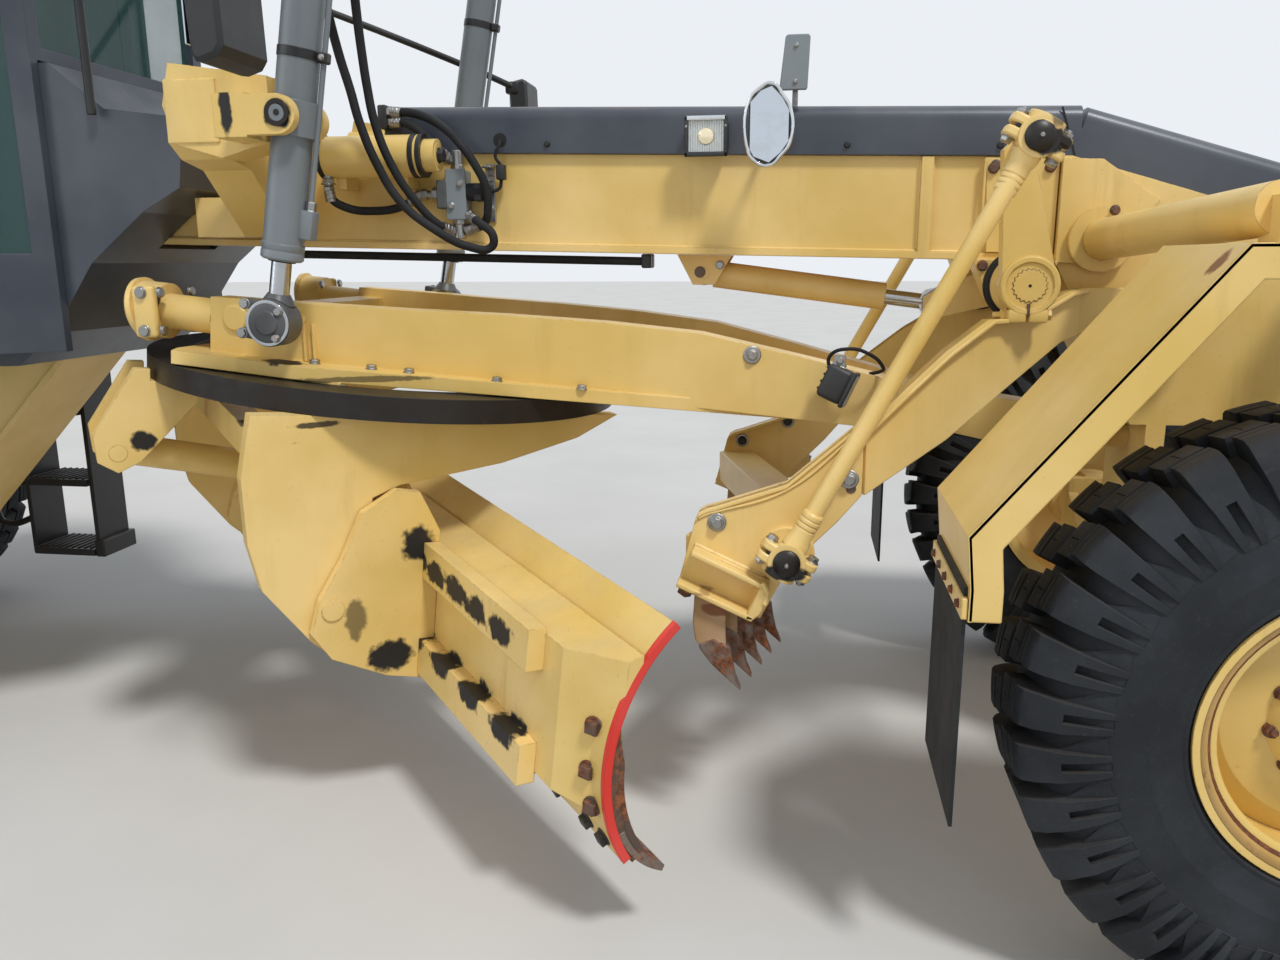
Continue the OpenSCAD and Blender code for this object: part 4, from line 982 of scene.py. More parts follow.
    def turned(self, profile: Outline, place: Point, axis: Point, finish: Finish, steps: int = 32,
               angle: float = 360.0) -> bpy.types.Object:
        """Spins a closed outline of radius and height about a line.

        Args:
            profile: Its points as radius and height, as a closed outline.
            place: Where the height is 0.
            axis: The line's direction.
            finish: Its finish.
            steps: Steps round it.
            angle: How far it is spun, in degrees.

        Returns:
            The turned piece.
        """
        bpy.ops.mesh.primitive_circle_add(vertices=len(profile), radius=1, fill_type="NOTHING")
        piece = bpy.context.active_object
        for vertex, (radius, height) in zip(piece.data.vertices, profile):
            vertex.co = (radius, 0, height)
        bpy.ops.object.mode_set(mode="EDIT")
        bpy.ops.mesh.spin(steps=steps, angle=math.radians(angle), center=(0, 0, 0), axis=(0, 0, 1))
        bpy.ops.mesh.select_all(action="SELECT")
        bpy.ops.mesh.remove_doubles(threshold=0.00002)
        bpy.ops.mesh.select_all(action="SELECT")
        bpy.ops.mesh.delete_loose()
        bpy.ops.mesh.select_all(action="SELECT")
        bpy.ops.mesh.normals_make_consistent(inside=False)
        bpy.ops.object.mode_set(mode="OBJECT")
        return self._placed(piece, finish, Matrix.Translation(place) @ pointing(axis))

    def tube(self, points: Sequence[Point], radius: float, finish: Finish, sides: int = 3,
             closed: bool = False) -> bpy.types.Object:
        """Makes a smooth tube through a row of points.

        Args:
            points: The points.
            radius: Its radius.
            finish: Its finish.
            sides: Fineness of its section.
            closed: Whether it ends where it starts.

        Returns:
            The tube as a mesh.
        """
        bpy.ops.curve.primitive_bezier_curve_add()
        piece = bpy.context.active_object
        curve = piece.data
        curve.splines.clear()
        spline = curve.splines.new("BEZIER")
        spline.bezier_points.add(len(points) - 1)
        for knot, point in zip(spline.bezier_points, points):
            knot.co = point
            knot.handle_left_type = knot.handle_right_type = "AUTO"
        spline.use_cyclic_u = closed
        curve.dimensions = "3D"
        curve.resolution_u = 6
        curve.bevel_depth = radius
        curve.bevel_resolution = sides
        curve.use_fill_caps = True
        bpy.ops.object.convert(target="MESH")
        return self._placed(bpy.context.active_object, finish)

    def loop(self, points: Sequence[Point], radius: float, finish: Finish) -> bpy.types.Object:
        """Makes a bent bar with straight runs between its points.

        Args:
            points: Its corners and ends.
            radius: Its radius.
            finish: Its finish.

        Returns:
            The bar.
        """
        knots: list[Point] = []
        for index, point in enumerate(points):
            corner = Vector(point)
            for other in (index - 1, index + 1):
                if 0 <= other < len(points):
                    way = Vector(points[other]) - corner
                    knots.append(tuple(corner + way.normalized() * min(radius * 2.5, way.length * 0.4)))
            if index in (0, len(points) - 1):
                knots[0 if index == 0 else -1] = tuple(point)
        return self.tube(knots, radius, finish, 3)

    def _pattern(self, head: Head, size: float, finish: Finish) -> bpy.types.Object:
        """Models one fastener, standing on Z = 0.

        Args:
            head: Its kind.
            size: Half its width over the corners.
            finish: Its finish.

        Returns:
            The pattern, which is copied and then thrown away.
        """
        key = (head, round(size, 5), finish.name)
        if key in self._patterns:
            return self._patterns[key]
        plain = self.fresh()
        sides = {Head.HEX: 6, Head.NUT: 6, Head.SQUARE: 4, Head.PIN: 14}[head]
        tall = size * (0.72 if head is not Head.PIN else 0.5)
        plain.rod((0, 0, size * 0.16), (0, 0, size * 0.16 + tall), size, finish, sides, size * 0.09)
        plain.turned([(0, 0), (size * 1.16, 0), (size * 1.16, size * 0.13), (size * 1.1, size * 0.19),
                      (0, size * 0.19)], (0, 0, 0), (0, 0, 1), finish, 14)
        if head is Head.NUT:
            top = size * 0.16 + tall
            plain.rod((0, 0, top - size * 0.1), (0, 0, top + size * 0.42), size * 0.5, finish, 10,
                      size * 0.08)
        made = plain.joined(f"pattern_{head.value}_{len(self._patterns)}")
        self._patterns[key] = made
        return made

    def fixed(self, places: Iterable[Point], axis: Point, size: float, finish: Finish,
              head: Head = Head.HEX) -> None:
        """Sets fasteners on a surface.

        Args:
            places: Where they stand.
            axis: The surface's outward direction.
            size: Half their width over the corners.
            finish: Their finish.
            head: Their kind.
        """
        pattern = self._pattern(head, size, finish)
        lean = pointing(axis)
        for place in places:
            spun = Matrix.Rotation((sum(place) * 37.0) % 6.28, 4, "Z")
            self.parts.append(duplicate(pattern, self.frame @ Matrix.Translation(place) @ lean @ spun))

    def joined(self, name: str, angle: float = 32.0) -> bpy.types.Object:
        """Joins the parts kept so far into one mesh at the origin.

        Args:
            name: The piece's name.
            angle: Edges flatter than this are shaded smooth, in degrees.

        Returns:
            The piece.
        """
        bpy.ops.object.select_all(action="DESELECT")
        holder = bpy.data.objects.new(name, bpy.data.meshes.new(name))
        bpy.context.collection.objects.link(holder)
        for part in (*self.parts, holder):
            part.select_set(True)
        self.parts.clear()
        bpy.context.view_layer.objects.active = holder
        bpy.ops.object.join()
        bpy.ops.object.shade_smooth_by_angle(angle=math.radians(angle))
        return holder

    def piece(self, name: str, body: str, slot: Slot, replaces: Sequence[str] = (),
              angle: float = 32.0) -> bpy.types.Object:
        """Finishes a piece of the model from the parts kept so far.

        Args:
            name: Its name.
            body: The body that it rides on.
            slot: The record's slot of its main finish; it is not used.
            replaces: Nodes that it stands for.
            angle: Edges flatter than this are shaded smooth, in degrees.

        Returns:
            The piece.
        """
        made = self.joined(name, angle)
        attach(made, body)
        if replaces:
            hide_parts(*replaces)
        LOG.info("%s: %d faces on %s", name, len(made.data.polygons), body)
        return made

    def clear(self) -> None:
        """Throws the patterns away."""
        for pattern in self._patterns.values():
            bpy.data.objects.remove(pattern)
        self._patterns.clear()


@dataclass
class ViewCamera:
    """The camera of the photograph.

    Attributes:
        x: Its place from the front axle.
        y: Its place from the middle.
        z: Its height.
        yaw: How far it is turned from +Y towards -X, in degrees.
        pitch: How far it looks down.
        roll: How far it is turned about its own line.
        lens: Focal length in millimetres, on a sensor 36 wide.
    """

    x: float = -1.1832
    y: float = -3.2882
    z: float = 1.6698
    yaw: float = 8.8247
    pitch: float = 12.3628
    roll: float = -0.2694
    lens: float = 28.125

    def build(self) -> bpy.types.Object:
        """Makes the camera and hands it to the scene.

        Returns:
            The camera.
        """
        yaw, pitch, roll = (math.radians(v) for v in (self.yaw, self.pitch, self.roll))
        ahead = Vector((-math.sin(yaw) * math.cos(pitch), math.cos(yaw) * math.cos(pitch), -math.sin(pitch)))
        level = Vector((math.cos(yaw), math.sin(yaw), 0))
        upright = level.cross(ahead)
        right = level * math.cos(roll) + upright * math.sin(roll)
        up = upright * math.cos(roll) - level * math.sin(roll)
        bpy.ops.object.camera_add(location=here(self.x, self.y, self.z))
        camera = bpy.context.active_object
        camera.name = "view_camera"
        camera.rotation_mode = "QUATERNION"
        turn = Matrix((right, up, -ahead)).transposed()
        camera.rotation_quaternion = turn.to_quaternion()
        camera.data.lens = self.lens
        camera.data.sensor_width = 36.0
        camera.data.clip_start = 0.05
        camera.data.clip_end = 300.0
        bpy.context.scene.camera = camera
        return camera


@dataclass
class Studio:
    """Floor, sky and lamps.

    Attributes:
        floor: Colour of the floor.
        sky: Colour behind everything.
        sun: Strength of the key lamp.
        fill: Strength of the even light.
    """

    floor: Colour = linear(206, 204, 200)
    sky: Colour = linear(236, 240, 245)
    sun: float = 2.1
    fill: float = 0.62

    def build(self) -> None:
        """Makes the floor, the world and the lamps."""
        bpy.ops.mesh.primitive_grid_add(x_subdivisions=8, y_subdivisions=8, size=160, location=(0, 0, 0))
        floor = bpy.context.active_object
        floor.name = "studio_floor"
        g = Graph("studio_floor")
        tone = g.noise(0.8, 4.0)
        dull = shaded(self.floor, 0.93)
        colour = g.mixed(tone.above(0.3, 0.7), dull, self.floor)
        floor.data.materials.append(g.surface({"Base Color": colour, "Roughness": 0.9,
                                               "Specular IOR Level": 0.1}))
        world = bpy.data.worlds.new("studio_sky")
        world.use_nodes = True
        tree = world.node_tree
        tree.nodes.clear()
        seen = tree.nodes.new("ShaderNodeBackground")
        seen.inputs["Color"].default_value = self.sky
        seen.inputs["Strength"].default_value = 1.0
        even = tree.nodes.new("ShaderNodeBackground")
        even.inputs["Color"].default_value = linear(232, 240, 250)
        even.inputs["Strength"].default_value = self.fill
        path = tree.nodes.new("ShaderNodeLightPath")
        first = tree.nodes.new("ShaderNodeMath")
        first.operation = "MAXIMUM"
        second = tree.nodes.new("ShaderNodeMath")
        second.operation = "MAXIMUM"
        tree.links.new(path.outputs["Is Camera Ray"], first.inputs[0])
        tree.links.new(path.outputs["Is Glossy Ray"], first.inputs[1])
        tree.links.new(first.outputs[0], second.inputs[0])
        tree.links.new(path.outputs["Is Transmission Ray"], second.inputs[1])
        mix = tree.nodes.new("ShaderNodeMixShader")
        tree.links.new(second.outputs[0], mix.inputs[0])
        tree.links.new(even.outputs[0], mix.inputs[1])
        tree.links.new(seen.outputs[0], mix.inputs[2])
        out = tree.nodes.new("ShaderNodeOutputWorld")
        tree.links.new(mix.outputs[0], out.inputs["Surface"])
        bpy.context.scene.world = world
        self._sun("key_lamp", (-0.36, 0.42, -0.83), self.sun, 9.0)
        self._sun("side_lamp", (0.75, 0.45, -0.35), 0.45, 40.0)

    def _sun(self, name: str, towards: Point, strength: float, angle: float) -> None:
        """Adds a far lamp.

        Args:
            name: Its name.
            towards: The direction in which it shines.
            strength: Its strength.
            angle: Its size in degrees, for soft shadows.
        """
        bpy.ops.object.light_add(type="SUN", location=(0, 0, 6))
        lamp = bpy.context.active_object
        lamp.name = name
        lamp.rotation_mode = "QUATERNION"
        lamp.rotation_quaternion = Vector(towards).to_track_quat("-Z", "Y")
        lamp.data.energy = strength
        lamp.data.angle = math.radians(angle)


@dataclass
class FrameDressing:
    """Gives every carried-over solid its finish.

    Attributes:
        palette: The finishes.
    """

    palette: Palette
    frame: dict[str, dict[str, bpy.types.Object]]

    def build(self) -> None:
        """Assigns the finishes."""
        for name, obj in self.frame["nodes"].items():
            finish = NODE_FINISHES.get(name, PAINT)
            material = self.palette.of(finish)
            if not obj.material_slots:
                obj.data.materials.append(material)
            for slot in obj.material_slots:
                slot.link = "OBJECT"
                slot.material = material


def wheels() -> list[tuple[float, int, str]]:
    """Lists the six wheels: place along the machine, side and name."""
    return [(place, side, f"{name}_{word}") for name, place in AXLES for side, word in SIDES]


def wheel_frame(place: float, side: int) -> Matrix:
    """Gives a wheel's frame, with Z out along its axle."""
    return turned_at((place, side * WHEEL_Y, WHEEL_RADIUS), -90 * side, "X")


@dataclass
class Tyres:
    """Six lug tyres, modelled once in the frame of a wheel whose axle is Z.

    Attributes:
        bench: The bench.
        floor: Radius of the grooves between the lugs.
        bead: Radius where the tyre leaves the rim.
        count: Lugs along one shoulder.
        slack: How far the lugs stay inside the tyre's radius.
    """

    bench: Bench
    floor: float = 0.645
    bead: float = 0.3075
    count: int = 33
    slack: float = 0.0002

    def _carcass(self, plain: Bench) -> bpy.types.Object:
        """Turns the body of the tyre.

        Args:
            plain: The bench, in the frame of a wheel.

        Returns:
            The body.
        """
        half = [(self.bead, 0.150), (0.3385, 0.1600), (0.345, 0.168), (0.3475, 0.1745), (0.353, 0.1745),
                (0.357, 0.1725), (0.382, 0.1775), (0.420, 0.1835), (0.424, 0.1850), (0.429, 0.1850),
                (0.433, 0.1840), (0.470, 0.1868), (0.500, 0.1866), (0.528, 0.1820), (0.556, 0.1720),
                (0.588, 0.1560), (0.613, 0.1350), (0.634, 0.1080), (self.floor, 0.0700)]
        whole = half + [(r, -z) for r, z in reversed(half)]
        return plain.turned(whole, (0, 0, 0), (0, 0, 1), TYRE_RUBBER, 120)

    def _half_pitch(self, plain: Bench) -> None:
        """Models a shoulder lug, the block beside it, its ramp and its studs.

        Args:
            plain: The bench, in the frame of a wheel.
        """
        top = WHEEL_RADIUS
        low = self.floor - 0.012
        side = [(top, 0.078), (top, 0.0975), (top - 0.007, 0.0980), (top - 0.007, 0.1000), (top, 0.1005),
                (top, 0.1260), (0.6800, 0.1440), (0.6560, 0.1600), (0.6020, 0.1835), (0.5450, 0.1905),
                (0.5000, 0.1890), (0.4940, 0.1800), (0.5600, 0.1600), (0.6000, 0.1350), (low, 0.0950),
                (low, 0.0780)]

        def in_slot(middle: Vector, normal: Vector) -> bool:
            """Takes the face of the slot in the lug's side."""
            return 0.51 < middle.x < 0.60 and abs(middle.y) < 0.016 and normal.z > 0.5

        lug = plain.drawn(side, (-0.042, -0.0105, 0.0105, 0.042), TYRE_RUBBER, Along.Y, 0.0026, None,
                          (in_slot, Vector((-0.002, 0, -0.022))))
        for vertex in lug.data.vertices:
            narrow = min(1.0, max(0.0, (0.665 - vertex.co.x) / 0.165))
            vertex.co.y += 0.017 * narrow * (1 if vertex.co.y < -0.02 else -1 if vertex.co.y > 0.02 else 0)
            vertex.co.y += 0.11 * (0.10 - min(vertex.co.z, 0.10))

        def in_cut(middle: Vector, _: Vector) -> bool:
            """Takes the face of the thin cut in the block's top."""
            return middle.x > top - 0.001 and abs(middle.y) < 0.002 and 0.024 < middle.z < 0.058

        block = plain.drawn([(top, 0.006), (top, 0.022), (top, 0.060), (top, 0.070), (low, 0.070),
                             (low, 0.006)], (-0.046, -0.0011, 0.0011, 0.044), TYRE_RUBBER, Along.Y, 0.0016,
                            None, (in_cut, Vector((-0.009, 0, 0))))
        for vertex in block.data.vertices:
            vertex.co.y += 0.012 + 0.16 * (0.07 - vertex.co.z)
        ramp = plain.drawn([(0.0, 0.622), (0.0, 0.502), (0.040, 0.506), (0.046, 0.530)], (0.120, 0.1795),
                           TYRE_RUBBER, Along.Z, 0.0)
        for vertex in ramp.data.vertices:
            first, second = vertex.co.x, vertex.co.y
            vertex.co.x, vertex.co.y = second, -0.022 - first
            if vertex.co.z > 0.16:
                vertex.co.z = 0.1880 if second < 0.51 else 0.1780 if second < 0.55 else 0.1620
        ramp.data.flip_normals()
        for part in (lug, block):
            for vertex in part.data.vertices:
                reach = math.hypot(vertex.co.x, vertex.co.y)
                if reach > top - self.slack:
                    vertex.co.x -= (reach - top + self.slack) * reach / vertex.co.x
        plain.fixed([(top - 0.0032, 0.006, 0.088), (top - 0.0032, -0.010, 0.112),
                     (top - 0.0040, 0.030, 0.050)], (1, 0, 0), 0.0042, ZINC, Head.PIN)

    def _master(self) -> bpy.types.Object:
        """Joins the carcass and all lugs of one tyre.

        Returns:
            The tyre, which is copied for each wheel.
        """
        plain = self.bench.fresh()
        self._half_pitch(plain)
        pitch = plain.joined("tyre_pitch")
        self._carcass(plain)
        for index in range(self.count):
            for far in (0, 1):
                turn = math.radians((index + far / 2) * 360 / self.count + 90)
                frame = Matrix.Rotation(turn, 4, "Z") @ Matrix.Rotation(math.pi * far, 4, "X")
                plain.parts.append(duplicate(pitch, frame))
        bpy.data.objects.remove(pitch)
        return plain.joined("tyre_master", 28.0)

    def build(self) -> None:
        """Makes the six tyres."""
        master = self._master()
        for place, side, name in wheels():
            self.bench.parts.append(duplicate(master, self.bench.frame @ wheel_frame(place, side)))
            self.bench.piece(f"lug_tyre_{name}", f"wheel_{name}", Slot.TYRE, (f"tyre_{name}",), 28.0)
        bpy.data.objects.remove(master)


@dataclass
class WheelHardware:
    """Nuts, hub cap, valve and rim rings of each wheel.

    Attributes:
        bench: The bench.
        ring: Radius of the ring of nuts.
        count: Nuts on a wheel.
        face: Where the disc's nuts stand, outside the wheel's middle.
        rings: Outline and finish of the hub cap and of the rings on the rim.
    """

    bench: Bench
    ring: float = 0.140
    count: int = 10
    face: float = 0.0615
    rings: tuple[tuple[Outline, Finish, int], ...] = (
        (((0, 0.1095), (0.062, 0.1095), (0.064, 0.1120), (0.064, 0.1240), (0.058, 0.1320), (0.020, 0.1350),
          (0, 0.1352)), PAINT_WORN, 28),
        (((0.2925, 0.1180), (0.2840, 0.1195), (0.2780, 0.1260), (0.2765, 0.1340), (0.2790, 0.1415),
          (0.2860, 0.1460), (0.2935, 0.1465)), PAINT, 72),
        (((0.2935, 0.1460), (0.2975, 0.1503), (0.3010, 0.1537), (0.3010, 0.1529), (0.2935, 0.1450)), RIM_RUST,
         72),
        (((0.3010, 0.1537), (0.3218, 0.1723), (0.3214, 0.1712), (0.3010, 0.1529)), RIM_BAND, 72),
        (((0.2922, 0.1115), (0.2895, 0.1120), (0.2895, 0.1190), (0.2922, 0.1190)), RIM_RUST, 72),
    )

    def _circle(self, radius: float, count: int, start: float, level: float) -> list[Point]:
        """Places points on a circle about the axle.

        Args:
            radius: The circle's radius.
            count: Number of points.
            start: Turn of the first one, in degrees.
            level: Distance out from the wheel's middle.

        Returns:
            The points.
        """
        spots = []
        for index in range(count):
            turn = math.radians(360 / count * index + start)
            spots.append((radius * math.cos(turn), radius * math.sin(turn), level))
        return spots

    def build(self) -> None:
        """Makes the hardware of the six wheels."""
        out = (0, 0, 1)
        for place, side, name in wheels():
            b = self.bench.at(FRONT @ wheel_frame(place, side))
            b.fixed(self._circle(self.ring, self.count, 9, self.face), out, 0.0165, RUSTY, Head.NUT)
            b.fixed(self._circle(0.086, 6, 20, 0.1095), out, 0.009, ZINC)
            for outline, finish, steps in self.rings:
                b.turned(outline, (0, 0, 0), out, finish, steps)
            b.rod((0.262, 0.03, 0.045), (0.262, 0.03, 0.105), 0.005, ZINC, 8, 0.001)
            b.rod((0.262, 0.03, 0.092), (0.262, 0.03, 0.109), 0.0075, SEAL_RUBBER, 8, 0.001)
            self.bench.piece(f"wheel_nuts_{name}", f"wheel_{name}", Slot.RUSTED)


@dataclass
class Hoses:
    """Hydraulic hoses with their crimped ends, on the front frame.

    Attributes:
        bench: The bench.
        radius: Radius of a hose.
        runs: Points of each hose.
        pipes: Ends of the two pipes under the beam.
    """

    bench: Bench
    radius: float = 0.013
    runs: tuple[tuple[Point, ...], ...] = (
        ((-2.405, -0.611, 2.625), (-2.44, -0.59, 2.59), (-2.48, -0.53, 2.5), (-2.495, -0.47, 2.38),
         (-2.485, -0.43, 2.25), (-2.465, -0.41, 2.15), (-2.45, -0.395, 2.065), (-2.41, -0.375, 1.945),
         (-2.36, -0.34, 1.845), (-2.28, -0.3, 1.77), (-2.17, -0.265, 1.712), (-2.115, -0.245, 1.712),
         (-2.105, -0.25, 1.745), (-2.15, -0.24, 1.785), (-2.1995, -0.2, 1.812)),
        ((-2.375, -0.611, 2.56), (-2.38, -0.58, 2.535), (-2.4, -0.5, 2.46), (-2.42, -0.44, 2.36),
         (-2.425, -0.405, 2.24), (-2.425, -0.385, 2.165), (-2.415, -0.37, 2.07), (-2.385, -0.345, 1.96),
         (-2.335, -0.285, 1.85), (-2.28, -0.235, 1.78), (-2.2485, -0.188, 1.762)),
        ((-2.4395, -0.2, 2.12), (-2.345, -0.215, 2.11), (-2.26, -0.23, 2.07), (-2.2, -0.24, 2.015),
         (-2.16, -0.24, 1.96), (-2.13, -0.225, 1.89), (-2.13, -0.212, 1.835), (-2.15, -0.195, 1.785),
         (-2.2115, -0.188, 1.765)),
        ((-2.4395, -0.195, 2.09), (-2.385, -0.21, 2.085), (-2.32, -0.225, 2.045), (-2.27, -0.21, 1.995),
         (-2.2485, -0.188, 1.975)),
        ((-2.622, -0.262, 1.8990), (-2.620, -0.258, 1.868), (-2.585, -0.235, 1.838), (-2.5, -0.215, 1.826),
         (-2.41, -0.2, 1.840), (-2.3515, -0.188, 1.875)),
    )
    pipes: tuple[tuple[Point, Point], ...] = (
        ((-2.8845, -0.07, 1.698), (-1.6655, -0.07, 1.6683)),
        ((-2.8845, -0.115, 1.698), (-1.6655, -0.115, 1.6683)),
    )

    def _end(self, tip: Point, inner: Point) -> None:
        """Crimps a ferrule and a nut onto the end of a hose.

        Args:
            tip: The end of the hose.
            inner: The next point of the hose.
        """
        run = Vector(inner) - Vector(tip)
        run.normalize()
        r = self.radius
        ferrule = [(r * 0.6, 0.012), (r * 1.02, 0.012), (r * 1.30, 0.016), (r * 1.30, 0.022),
                   (r * 1.2, 0.024), (r * 1.32, 0.027), (r * 1.32, 0.036), (r * 1.2, 0.038),
                   (r * 1.30, 0.041), (r * 1.28, 0.046), (r * 0.6, 0.046)]
        self.bench.turned(ferrule, tip, tuple(run), ZINC, 20)
        nut_end = Vector(tip) + run * 0.013
        self.bench.rod(tip, tuple(nut_end), r * 1.34, ZINC, 6, 0.0012)

    def build(self) -> None:
        """Makes the hoses."""
        for run in self.runs:
            self.bench.tube(run, self.radius, HOSE_RUBBER, 4)
            self._end(run[0], run[1])
            self._end(run[-1], run[-2])
        for start, end in self.pipes:
            self.bench.rod(start, end, self.radius, HOSE_RUBBER, 16, 0.001)
            for point, step in ((start, -0.030), (end, 0.0)):
                low = (point[0] + step, point[1] - 0.021, point[2] - 0.021)
                high = (point[0] + step + 0.030, point[1] + 0.021, point[2] + 0.0225)
                self.bench.block(low, high, BLACK_PAINT, 0.004)
        self.bench.piece("hydraulic_hoses", "front_frame", Slot.RUBBER, (), 40.0)


@dataclass
class BeamHardware:
    """Welds, bolts, the lock's dressing and the valve's fittings on the front frame.

    Attributes:
        bench: The bench.
        fall: Fall of the beam towards the front, per metre.
        foot: Height of its underside over the axle.
    """

    bench: Bench
    fall: float = 0.0238
    foot: float = 1.653

    def _low(self, x: float) -> float:
        """Height of the beam's underside."""
        return self.foot - self.fall * x

    def _welds(self) -> None:
        """Lays weld beads along the beam's flange and its plates."""
        for side in (-1, 1):
            rear, front = -3.29, -0.70
            seam = ((rear, rear), ((rear + front) / 2, -2.0), (front, front))
            flange = [(x, side * 0.1515, self._low(at) + 0.0215) for x, at in seam]
            self.bench.tube(flange, 0.0052, PAINT, 2)
            for x in (-0.8365, -0.7985):
                rib = [(x, side * 0.151, z) for z in (1.700, 1.83, 1.955)]
                self.bench.tube(rib, 0.0042, PAINT, 2)
            mount = ((-0.658, side * 0.1725, 1.69), (-0.6585, side * 0.1725, 1.82),
                     (-0.658, side * 0.1725, 1.953))
            self.bench.tube(mount, 0.004, PAINT, 2)

    def _valve(self) -> None:
        """Dresses the lock's valve: end plate, bolts, elbows and connector."""
        b = self.bench
        b.block((-2.260, -0.215, 1.800), (-2.200, -0.1503, 1.945), GREY_PLATE, 0.003)
        b.block((-2.290, -0.225, 1.830), (-2.259, -0.165, 1.915), GREY_CAST, 0.003)
        b.rod((-2.341, -0.188, 1.875), (-2.289, -0.188, 1.875), 0.012, ZINC, 16)
        b.rod((-2.23, -0.188, 1.740), (-2.23, -0.188, 1.801), 0.018, ZINC, 18)
        b.rod((-2.23, -0.188, 1.944), (-2.23, -0.188, 2.004), 0.018, ZINC, 18)
        b.rod((-2.201, -0.188, 1.880), (-2.141, -0.188, 1.880), 0.027, SEAL_RUBBER, 24, 0.003)
        b.rod((-2.622, -0.262, 1.899), (-2.622, -0.262, 1.940), 0.014, ZINC, 16)
        b.block((-2.470, -0.218, 2.070), (-2.440, -0.1683, 2.140), PLASTIC, 0.006, 2)
        b.block((-2.262, -0.2175, 1.797), (-2.198, -0.2145, 1.948), GREY_PLATE, 0.0012)
        b.fixed([(-2.245, -0.2175, 1.838), (-2.215, -0.2175, 1.905)], (0, -1, 0), 0.0095, ZINC)
        b.rod((-2.23, -0.188, 1.940), (-2.23, -0.188, 1.962), 0.0215, ZINC, 6, 0.0015)
        b.rod((-2.23, -0.188, 1.783), (-2.23, -0.188, 1.806), 0.0215, ZINC, 6, 0.0015)
        b.rod((-2.313, -0.188, 1.875), (-2.290, -0.188, 1.875), 0.0215, ZINC, 6, 0.0015)
        b.rod((-2.352, -0.188, 1.875), (-2.330, -0.188, 1.875), 0.0175, ZINC, 6, 0.0012)
        b.block((-2.176, -0.213, 1.852), (-2.150, -0.163, 1.905), PLASTIC, 0.004, 2)

    def _lock(self) -> None:
        """Dresses the lock cylinder: end bands, cap, blank label and port."""
        b = self.bench
        for start, end, radius in ((-2.640, -2.625, 0.0655), (-2.345, -2.330, 0.0655),
                                   (-2.322, -2.308, 0.0645)):
            b.turned([(0.050, 0), (radius, 0), (radius, end - start), (0.050, end - start)],
                     (start, -0.245, 1.985), (1, 0, 0), BLACK_PAINT, 36)
        b.rod((-2.271, -0.245, 1.985), (-2.2685, -0.245, 1.985), 0.036, PAINT, 24)
        b.fixed([(-2.2685, -0.245, 1.985)], (1, 0, 0), 0.020, BLACK_PAINT)
        b.turned([(0.0624, 0), (0.0632, 0), (0.0632, 0.115), (0.0624, 0.115)], (-2.54, -0.245, 1.985),
                 (1, 0, 0), LABEL, 20, 62.0)
        b.fixed([(-2.622, -0.262, 1.904)], (0, 0, 1), 0.019, ZINC)

    def _bolts(self) -> None:
        """Sets the bolts of the mounting plates and the cover."""
        b = self.bench
        for side in (-1, 1):
            face = side * 0.2505
            b.fixed([(-0.662, face, 1.652), (-0.478, face, 1.652), (-0.516, face, 1.572),
                     (-0.618, face, 1.572)], (0, side, 0), 0.0135, RUSTY)
            b.fixed([(-0.636, side * 0.1725, 1.925), (-0.480, side * 0.1725, 1.925)], (0, side, 0), 0.0135,
                    RUSTY)
            covers = [(x, side * 0.1685, self._low(x) + 0.292 + 0.028) for x in (-2.40, -1.95, -1.05, -0.62)]
            b.fixed(covers, (0, side, 0), 0.0085, BLACK_PAINT)

    def build(self) -> None:
        """Makes the hardware on the beam."""
        self._welds()
        self.bench.piece("beam_welds", "front_frame", Slot.YELLOW, (), 60.0)
        self._valve()
        self._lock()
        self.bench.piece("lock_valve_fittings", "front_frame", Slot.STEEL)
        self._bolts()
        self.bench.piece("beam_bolts", "front_frame", Slot.RUSTED)


